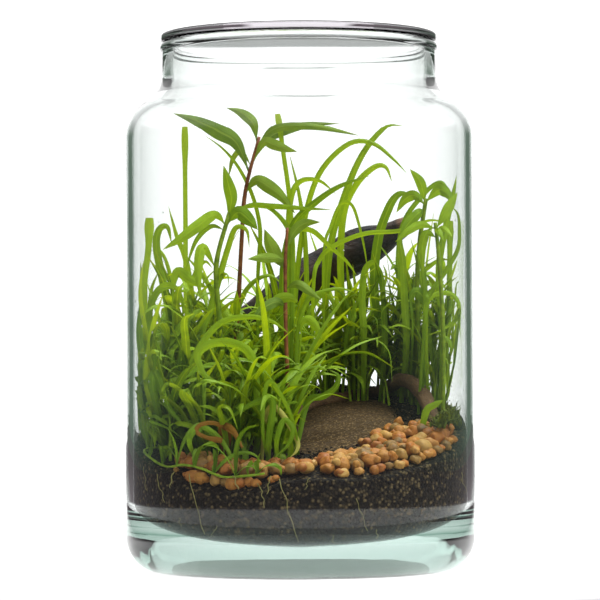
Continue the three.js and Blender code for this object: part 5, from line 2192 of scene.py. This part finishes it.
@dataclass
class Plants:
    """Grass tufts, leafy shoots, the withered leaf and what grows low between them."""

    finishes: Finishes
    seed: int = 907
    stand_width: float = 1.1
    blade_widths: tuple[float, float] = (1.4, 1.2)
    fill_count: int = 12
    quick_fill_count: int = 5
    fill_reach: float = 9.0
    fill_ring: float = 71.0
    fill_tries: int = 5
    upright_from: float = 8.0
    sparse_from: float = -20.0
    stem_ring: float = 70.0
    stem_tries: int = 8
    widest_leaf: float = 3.0
    moss_ring: float = 66.5
    moss_spread: float = 6.5

    def _tufts(self, grown: list[list[Blade]]) -> None:
        """The tufts of the solids, drawn finer and with thin blades between.

        Args:
            grown: Each tuft's blades.
        """
        source = RandomSource(self.seed)
        for index, (tuft, blades) in enumerate(zip(TUFTS, grown)):
            surface = Surface()
            for number, blade in enumerate(blades):
                large = number < len(tuft.stands)
                blade.half *= self.stand_width if large else self.blade_widths[tuft.x > 0]
                add_blade(surface, blade, BladeLook(5, 5, 0.45 if large else 0.3), source)
            self._fill(surface, tuft, source, self.fill_count)
            self._crown(surface, tuft, source)
            if tuft.runner:
                self._runner(surface, tuft, RandomSource(self.seed + 8))
            name = f"grass_tuft_{index + 1:02d}"
            finishes = [self.finishes["grass"], self.finishes["green stem"]]
            place(surface, f"fine_{name}", finishes, "grass", [name])

    def _fill(self, surface: Surface, tuft: Tuft, source: RandomSource, count: int) -> None:
        """Thin blades round a crown, which thicken the tuft.

        Args:
            surface: The tuft's surface.
            tuft: The tuft.
            source: The random source.
            count: How many.
        """
        made = 0
        habit = UPRIGHT if tuft.x > self.upright_from else CURLY
        count = count // 2 if tuft.x > self.sparse_from else count
        for number in range(count * self.fill_tries):
            if made == count:
                break
            angle = source.bearing()
            x, y = on_ring(self.fill_reach * math.sqrt(source.draw()), angle)
            root = Tuft(tuft.x + x, tuft.y + y, tuft.tall, 0)
            blade = grass_blade(root, number * GOLDEN_TURN, source, habit)
            if math.hypot(root.x, root.y) < self.fill_ring and all(is_free(stop) for stop in blade.route[1:]):
                add_blade(surface, blade, BladeLook(5, 5, 0.3, 0.08), source)
                made += 1

    @staticmethod
    def _crown(surface: Surface, tuft: Tuft, source: RandomSource) -> None:
        """The pale base that a tuft's blades rise from.

        Args:
            surface: The tuft's surface.
            tuft: The tuft.
            source: The random source.
        """
        ground = ground_height(tuft.x, tuft.y)
        heights = np.array([-CROWN_DEPTH, -1.0, 0.5, 1.8, CROWN_RISE])
        path = np.stack([np.full(5, tuft.x), np.full(5, tuft.y), ground + heights], axis=1)
        radii = np.array([2.6, 3.0, 3.2, 2.6, 1.6])
        add_tube(surface, path.astype(float), radii, 14, Layer.SECOND, source.draw())

    @staticmethod
    def _runner(surface: Surface, tuft: Tuft, source: RandomSource) -> None:
        """The creeping stem along the glass.

        Args:
            surface: The tuft's surface.
            tuft: The tuft.
            source: The random source.
        """
        route = [on_ground(tuft.x, tuft.y, RUNNER_LIFT)]
        for degrees in RUNNER_ANGLES:
            spot = on_ring(RUNNER_RING, math.radians(degrees))
            route.append(on_ground(*spot, RUNNER_LIFT + 1.7 * math.sin(degrees)))
        path = smooth_route(route, 5)
        swell = 0.44 + 0.16 * np.abs(np.sin(np.linspace(0, 16, len(path))))
        add_tube(surface, path, swell, 8, Layer.SECOND)
        for stop in range(8, len(path) - 1, 5):
            for number in range(3):
                blade = grow(tuple(path[stop]), number * GOLDEN_TURN + source.draw(), 30.0, source, CURLY)
                blade.half *= 0.7
                add_blade(surface, blade, BladeLook(5, 5, 0.3), source)

    def _shoots(self) -> None:
        """The leafy shoots."""
        source = RandomSource(self.seed + 1)
        for shoot in SHOOTS:
            surface = Surface()
            stalk = smooth_route(shoot_stalk(shoot), 5)
            radii = np.interp(np.linspace(0, 1, len(stalk)), np.linspace(0, 1, len(shoot.radii)), shoot.radii)
            joints = 1 + 0.14 * np.maximum(0, np.sin(np.linspace(0, 26, len(stalk)))) ** 4
            add_tube(surface, stalk, radii * joints * 0.9, 12, Layer.SECOND)
            for leaf in shoot.leaves:
                large = leaf.half > self.widest_leaf
                blade = faced_blade(leaf.route[0], leaf.half * (1.0 if large else 1.2), leaf.route[1:])
                blade.shape = fine_leaf_width
                blade.tone = 0.0 if large else None
                blade.twist = 0.5 * (source.draw() - 0.5)
                add_blade(surface, blade, BladeLook(8, 9, 0.28, 0.1), source)
            red = shoot.slot == "leaf"
            materials = [
                self.finishes["dark leaf" if red else "grass"],
                self.finishes["red stem" if red else "green stem"],
            ]
            place(surface, f"fine_{shoot.name}", materials, shoot.slot, [shoot.name])

    def _strands(self) -> None:
        """Long blades that arch across the others."""
        source = RandomSource(self.seed + 4)
        surface = Surface()
        for strand in STRANDS:
            route = [(across, strand.depth, height) for across, height in strand.route]
            blade = faced_blade(on_ground(*strand.root, ROOT_LIFT), strand.half, route)
            blade.twist = 1.2 * (source.draw() - 0.5)
            blade.shape = paddle_width if strand.half > 2.1 else grass_width
            add_blade(surface, blade, BladeLook(6, 5, 0.4), source)
        place(surface, "arching_blades", [self.finishes["grass"]], "grass")

    def _withered(self) -> None:
        """The withered leaf at the front."""
        surface = Surface()
        start = on_ground(*WITHERED_ROOT, ROOT_LIFT)
        blade = faced_blade(start, WITHERED_HALF, WITHERED_ROUTE)
        blade.shape = leaf_width
        add_blade(surface, blade, BladeLook(8, 7, 0.4, 0.25), RandomSource(self.seed + 2))
        loop = faced_blade(start, WITHERED_LOOP_HALF, WITHERED_LOOP, True)
        add_blade(surface, loop, BladeLook(8, 5, 0.3), RandomSource(self.seed + 6))
        foot = np.array([on_ground(*WITHERED_ROOT, ROOT_LIFT + lift) for lift in (-4, -1, 1)])
        add_tube(surface, foot, np.array([0.8, 0.95, 0.8]), 8)
        place(surface, "fine_withered_leaf", [self.finishes["withered leaf"]], "withered", ["withered_leaf"])

    def _pale(self) -> None:
        """The yellowing blade that lies over the gravel."""
        surface = Surface()
        blade = faced_blade(on_ground(*PALE_ROOT, ROOT_LIFT), PALE_HALF, PALE_ROUTE)
        blade.tone = 0.8
        add_blade(surface, blade, BladeLook(8, 5, 0.4), RandomSource(self.seed + 7))
        place(surface, "pale_blade", [self.finishes["pale blade"]], "grass")

    def _moss(self) -> None:
        """Moss along the glass at the right and the left."""
        source = RandomSource(self.seed + 5)
        surface = Surface()
        for start, spread, clumps in MOSS_STRETCHES:
            for _ in range(clumps):
                angle = math.radians(start + spread * source.draw())
                out = self.moss_ring + self.moss_spread * source.draw()
                x, y = on_ring(out, angle)
                for number in range(4):
                    blade = grow((x, y, cover_height(x, y) - 0.6), number * GOLDEN_TURN, 1.0, source, MOSS)
                    add_blade(surface, blade, BladeLook(1, 3, 0.3, 0.0), source)
        place(surface, "moss", [self.finishes["moss"]], "grass")

    def _undergrowth(self) -> None:
        """Leafy stems between the tufts and along the back wall."""
        source = RandomSource(self.seed + 3)
        for patch in UNDERGROWTH:
            surface = Surface()
            made = 0
            wanted = patch.count
            for _ in range(wanted * self.stem_tries):
                if made == wanted:
                    break
                x = patch.west + (patch.east - patch.west) * source.draw()
                y = patch.south + (patch.north - patch.south) * source.draw()
                tall = patch.low + (patch.high - patch.low) * source.draw() - ground_height(x, y)
                if math.hypot(x, y) > self.stem_ring or cover_height(x, y) > ground_height(x, y) + 1:
                    continue
                stem = grow((x, y, ground_height(x, y) - 1), 0.0, tall, source, STEM)
                if all(is_free(stop) for stop in stem.route[1:]) and clear_of_wood(stem.route[0], 1.5):
                    self._leafy_stem(surface, stem, source)
                    made += 1
            place(surface, patch.name, [self.finishes["undergrowth"], self.finishes["green stem"]], "grass")

    def _leafy_stem(self, surface: Surface, stem: Blade, source: RandomSource) -> None:
        """A thin stem with leaves turned round it, thicker towards the top.

        Args:
            surface: The piece's surface.
            stem: The stem's route and radius.
            source: The random source.
        """
        path = smooth_route(stem.route, 5)
        add_tube(surface, path, np.linspace(stem.half, stem.half * 0.55, len(path)), 6, Layer.SECOND)
        turn = source.bearing()
        for joint in range(6, len(path), 3):
            for _ in range(1 + (joint > 12)):
                turn += GOLDEN_TURN
                leaf = grow(tuple(path[joint]), turn, 1.0, source, LEAFLET)
                leaf.shape = fine_leaf_width
                if all(is_free(stop) for stop in leaf.route[1:]):
                    add_blade(surface, leaf, BladeLook(3, 5, 0.3, 0.08), source)

    def build(self) -> None:
        """Makes every plant."""
        self._tufts(grow_tufts())
        self._shoots()
        self._strands()
        self._withered()
        self._pale()
        self._moss()
        self._undergrowth()


SOIL_THREADS = (
    ((-48.7, 46.6), (-41.2, 20.0), 0.3), ((-9.0, 44.9), (-1.4, 17.0), 0.3),
    ((-18.0, 42.7), (-15.0, 32.2), 0.3), ((23.9, 36.0), (28.2, 21.4), 0.22),
    ((70.0, 45.6), (72.5, 36.6), 0.25), ((-61.9, 46.1), (-59.5, 33.6), 0.35),
    ((-68.8, 49.0), (-66.8, 38.3), 0.3), ((-36.0, 24.0), (-38.0, 19.5), 0.2),
    ((-52.0, 27.0), (-51.6, 23.0), 0.18), ((14.0, 20.0), (13.6, 15.5), 0.18),
    ((32.0, 22.0), (32.6, 17.5), 0.2), ((-29.0, 46.0), (-27.0, 40.0), 0.4),
    ((-13.0, 46.0), (-14.5, 38.0), 0.4), ((-55.0, 47.0), (-56.5, 40.0), 0.4),
    ((4.0, 45.0), (1.5, 40.0), 0.2),
)


@dataclass
class Traces:
    """Root threads in the soil against the glass and drops of water on the wall."""

    finishes: Finishes
    seed: int = 1303
    thread_steps: int = 6
    drop_count: int = 70

    def _threads(self) -> None:
        """Pale root threads, seen through the glass."""
        source = RandomSource(self.seed)
        surface = Surface()
        for (across, height), (across_end, height_end), thick in SOIL_THREADS:
            route = []
            for step in range(self.thread_steps + 1):
                share = step / self.thread_steps
                x = across + (across_end - across) * share + 1.3 * (source.draw() - 0.5)
                z = height + (height_end - height) * share
                route.append((x, -math.sqrt(max(1.0, soil_edge(z) ** 2 - x * x)), z))
            path = smooth_route(route, 5)
            rings = np.array([soil_edge(height) for height in path[:, 2]])
            path[:, :2] *= (rings / np.hypot(path[:, 0], path[:, 1]))[:, None]
            add_tube(surface, path, np.linspace(thick * 0.75, thick * 0.45, len(path)), 6)
        place(surface, "root_threads", [self.finishes["root thread"]], "root")

    def _drops(self) -> None:
        """Small drops on the inner wall."""
        source = RandomSource(self.seed + 1)
        surface = Surface()
        points, faces = round_shape(1)
        for _ in range(self.drop_count):
            at_left = source.draw() < 0.6
            angle = math.radians(150 + 70 * source.draw()) if at_left else source.bearing()
            height = 78 + 90 * source.draw() ** 1.5
            radius = 0.25 + 0.55 * source.draw() ** 2
            centre = np.array([*on_ring(INSIDE - radius * 0.35 - 0.05, angle), height])
            outward = np.array([*on_ring(1.0, angle), 0.0])
            flat = points - np.outer(points @ outward, outward) * 0.65
            surface.add(flat * radius + centre, faces, tone=source.draw())
        place(surface, "water_drops", [self.finishes["water"]], "glass")

    def build(self) -> None:
        """Makes both."""
        self._threads()
        self._drops()


@dataclass(frozen=True)
class Lamp:
    """A soft lamp: its width and height, its power in watts and its place, in metres."""

    name: str
    size: tuple[float, float]
    power: float
    at: Point


@dataclass
class Studio:
    """Floor, backdrop, light and camera, in metres."""

    backdrop: float = 1.42
    floor_glow: float = 1.28
    floor_matte: float = 0.25
    half_width: float = 0.86
    front: float = -0.95
    back: float = 2.2
    foot: float = -0.02
    top: float = 1.4
    lamps: tuple[Lamp, ...] = (
        Lamp("key", (0.5, 0.6), 6.0, (-0.4, -0.9, 1.1)),
        Lamp("fill", (0.5, 0.8), 14.0, (0.85, -0.7, 0.6)),
        Lamp("top", (0.5, 0.5), 26.0, (0.25, 0.15, 1.1)),
    )
    aim: Point = (0, 0, 0.12)
    camera_at: Point = (0, -1.5, 0.092)
    camera_pitch: float = math.radians(90 + 1.227)
    camera_roll: float = math.radians(0.25)
    lens: float = 196.08
    sensor: float = 36.0
    bounces: int = 20
    glass_bounces: int = 16
    clear_bounces: int = 24

    @staticmethod
    def _sheet(name: str, corners: Sequence[Point], material: Material) -> None:
        """Makes a flat stage sheet.

        Args:
            name: Its name.
            corners: Its four corners.
            material: Its material.
        """
        mesh = bpy.data.meshes.new(name)
        mesh.from_pydata(corners, [], [(0, 1, 2, 3)])
        mesh.materials.append(material)
        obj = bpy.data.objects.new(name, mesh)
        bpy.context.scene.collection.objects.link(obj)

    def _paint(self, name: str, glow: float, share: float, pool: bool) -> Material:
        """A white matte stage paint that also gives some light.

        Args:
            name: The material's name.
            glow: How bright it shines.
            share: How much of it is matte.
            pool: Whether it has a painted pool of light round the jar, which dims away from it as under a
                lamp.

        Returns:
            The material.
        """
        material, graph, out = new_material(name)
        colour = WHITE
        if pool:
            # Painted pool of light: the floor's paint and glow darken to grey away from the jar.
            way = graph.split(graph.where())
            beside = graph.scaled(way[0], graph.span(way[1], 0.0, self.back, 1.0, 0.45))
            fore = graph.math("MINIMUM", way[1], 0.0)
            square = graph.math("ADD", graph.scaled(beside, beside), graph.scaled(fore, fore))
            reach = graph.math("SQRT", square)
            colour = graph.mix(graph.span(reach, 0.195, 0.25), WHITE, (0.13, 0.112, 0.12, 1))
            colour = graph.mix(graph.span(reach, 0.33, 0.42), colour, (0.09, 0.08, 0.084, 1))
        matte = graph.add("ShaderNodeBsdfDiffuse", {"Color": colour})
        light = graph.add("ShaderNodeEmission", {"Color": colour, "Strength": glow})
        graph.feed(out.inputs["Surface"], graph.blended(share, light, matte))
        return material

    def _stage(self) -> None:
        """The floor and the backdrop."""
        west, east, near, far = -self.half_width, self.half_width, self.front, self.back
        low, high = self.foot, self.top
        wall = [(west, far, low), (east, far, low), (east, far, high), (west, far, high)]
        self._sheet("backdrop", wall, self._paint("backdrop paint", self.backdrop, 0.0, False))
        ground = [(west, near, 0), (east, near, 0), (east, far, 0), (west, far, 0)]
        self._sheet("floor", ground, self._paint("floor paint", self.floor_glow, self.floor_matte, True))

    @staticmethod
    def _room() -> None:
        """The dim room round the stage, brighter overhead and behind."""
        world = bpy.data.worlds.new("studio")
        world.use_nodes = True
        graph = Graph(world.node_tree)
        way = graph.split(graph.add("ShaderNodeTexCoord").outputs["Generated"])
        room = graph.mix(graph.span(way[1], -0.9, -0.3), (0.03, 0.03, 0.03, 1), (0.13, 0.15, 0.135, 1))
        room = graph.mix(graph.span(way[1], 0.2, 0.8), room, (0.13, 0.18, 0.14, 1))
        room = graph.mix(graph.span(way[2], 0.07, 0.26), room, (0.75, 0.75, 0.75, 1))
        graph.feed(world.node_tree.nodes["Background"].inputs[0], room)
        bpy.context.scene.world = world

    def _lamps(self) -> None:
        """The soft lamps, which the glass doesn't mirror."""
        unlit = bpy.data.collections.new("glass without lamp marks")
        for obj in bpy.data.objects:
            if obj.name.startswith("fine_glass"):
                unlit.objects.link(obj)
        for link in unlit.collection_objects:
            link.light_linking.link_state = "EXCLUDE"
        for lamp in self.lamps:
            light = bpy.data.lights.new(lamp.name, "AREA")
            light.shape = "RECTANGLE"
            light.size, light.size_y = lamp.size
            light.energy = lamp.power
            obj = bpy.data.objects.new(lamp.name, light)
            obj.location = lamp.at
            obj.rotation_euler = (Vector(self.aim) - Vector(lamp.at)).to_track_quat("-Z", "Y").to_euler()
            obj.visible_transmission = False
            obj.light_linking.receiver_collection = unlit
            bpy.context.scene.collection.objects.link(obj)

    def _camera(self) -> None:
        """The camera, at the photo's viewing angle."""
        camera = bpy.data.cameras.new("camera")
        camera.lens = self.lens
        camera.sensor_width = self.sensor
        camera.clip_start, camera.clip_end = 0.05, 20
        obj = bpy.data.objects.new("camera", camera)
        obj.location = self.camera_at
        obj.rotation_euler = (self.camera_pitch, self.camera_roll, 0)
        bpy.context.scene.collection.objects.link(obj)
        bpy.context.scene.camera = obj

    def build(self) -> None:
        """Makes the stage, the lamps and the camera."""
        self._stage()
        self._room()
        self._lamps()
        self._camera()
        scene = bpy.context.scene
        scene.view_settings.view_transform = "Standard"
        scene.view_settings.look = "None"
        scene.cycles.max_bounces = self.bounces
        scene.cycles.transmission_bounces = self.glass_bounces
        scene.cycles.transparent_max_bounces = self.clear_bounces


def main() -> None:
    """Builds the whole scene."""
    logging.basicConfig(level=logging.INFO, format="%(name)s: %(message)s")
    finishes = Finishes()
    for kind in (Glassware, Ground, Woodwork, Plants, Traces):
        kind(finishes).build()
        LOG.info("built %s", kind.__name__)
    Studio().build()


if __name__ == "__main__":
    main()
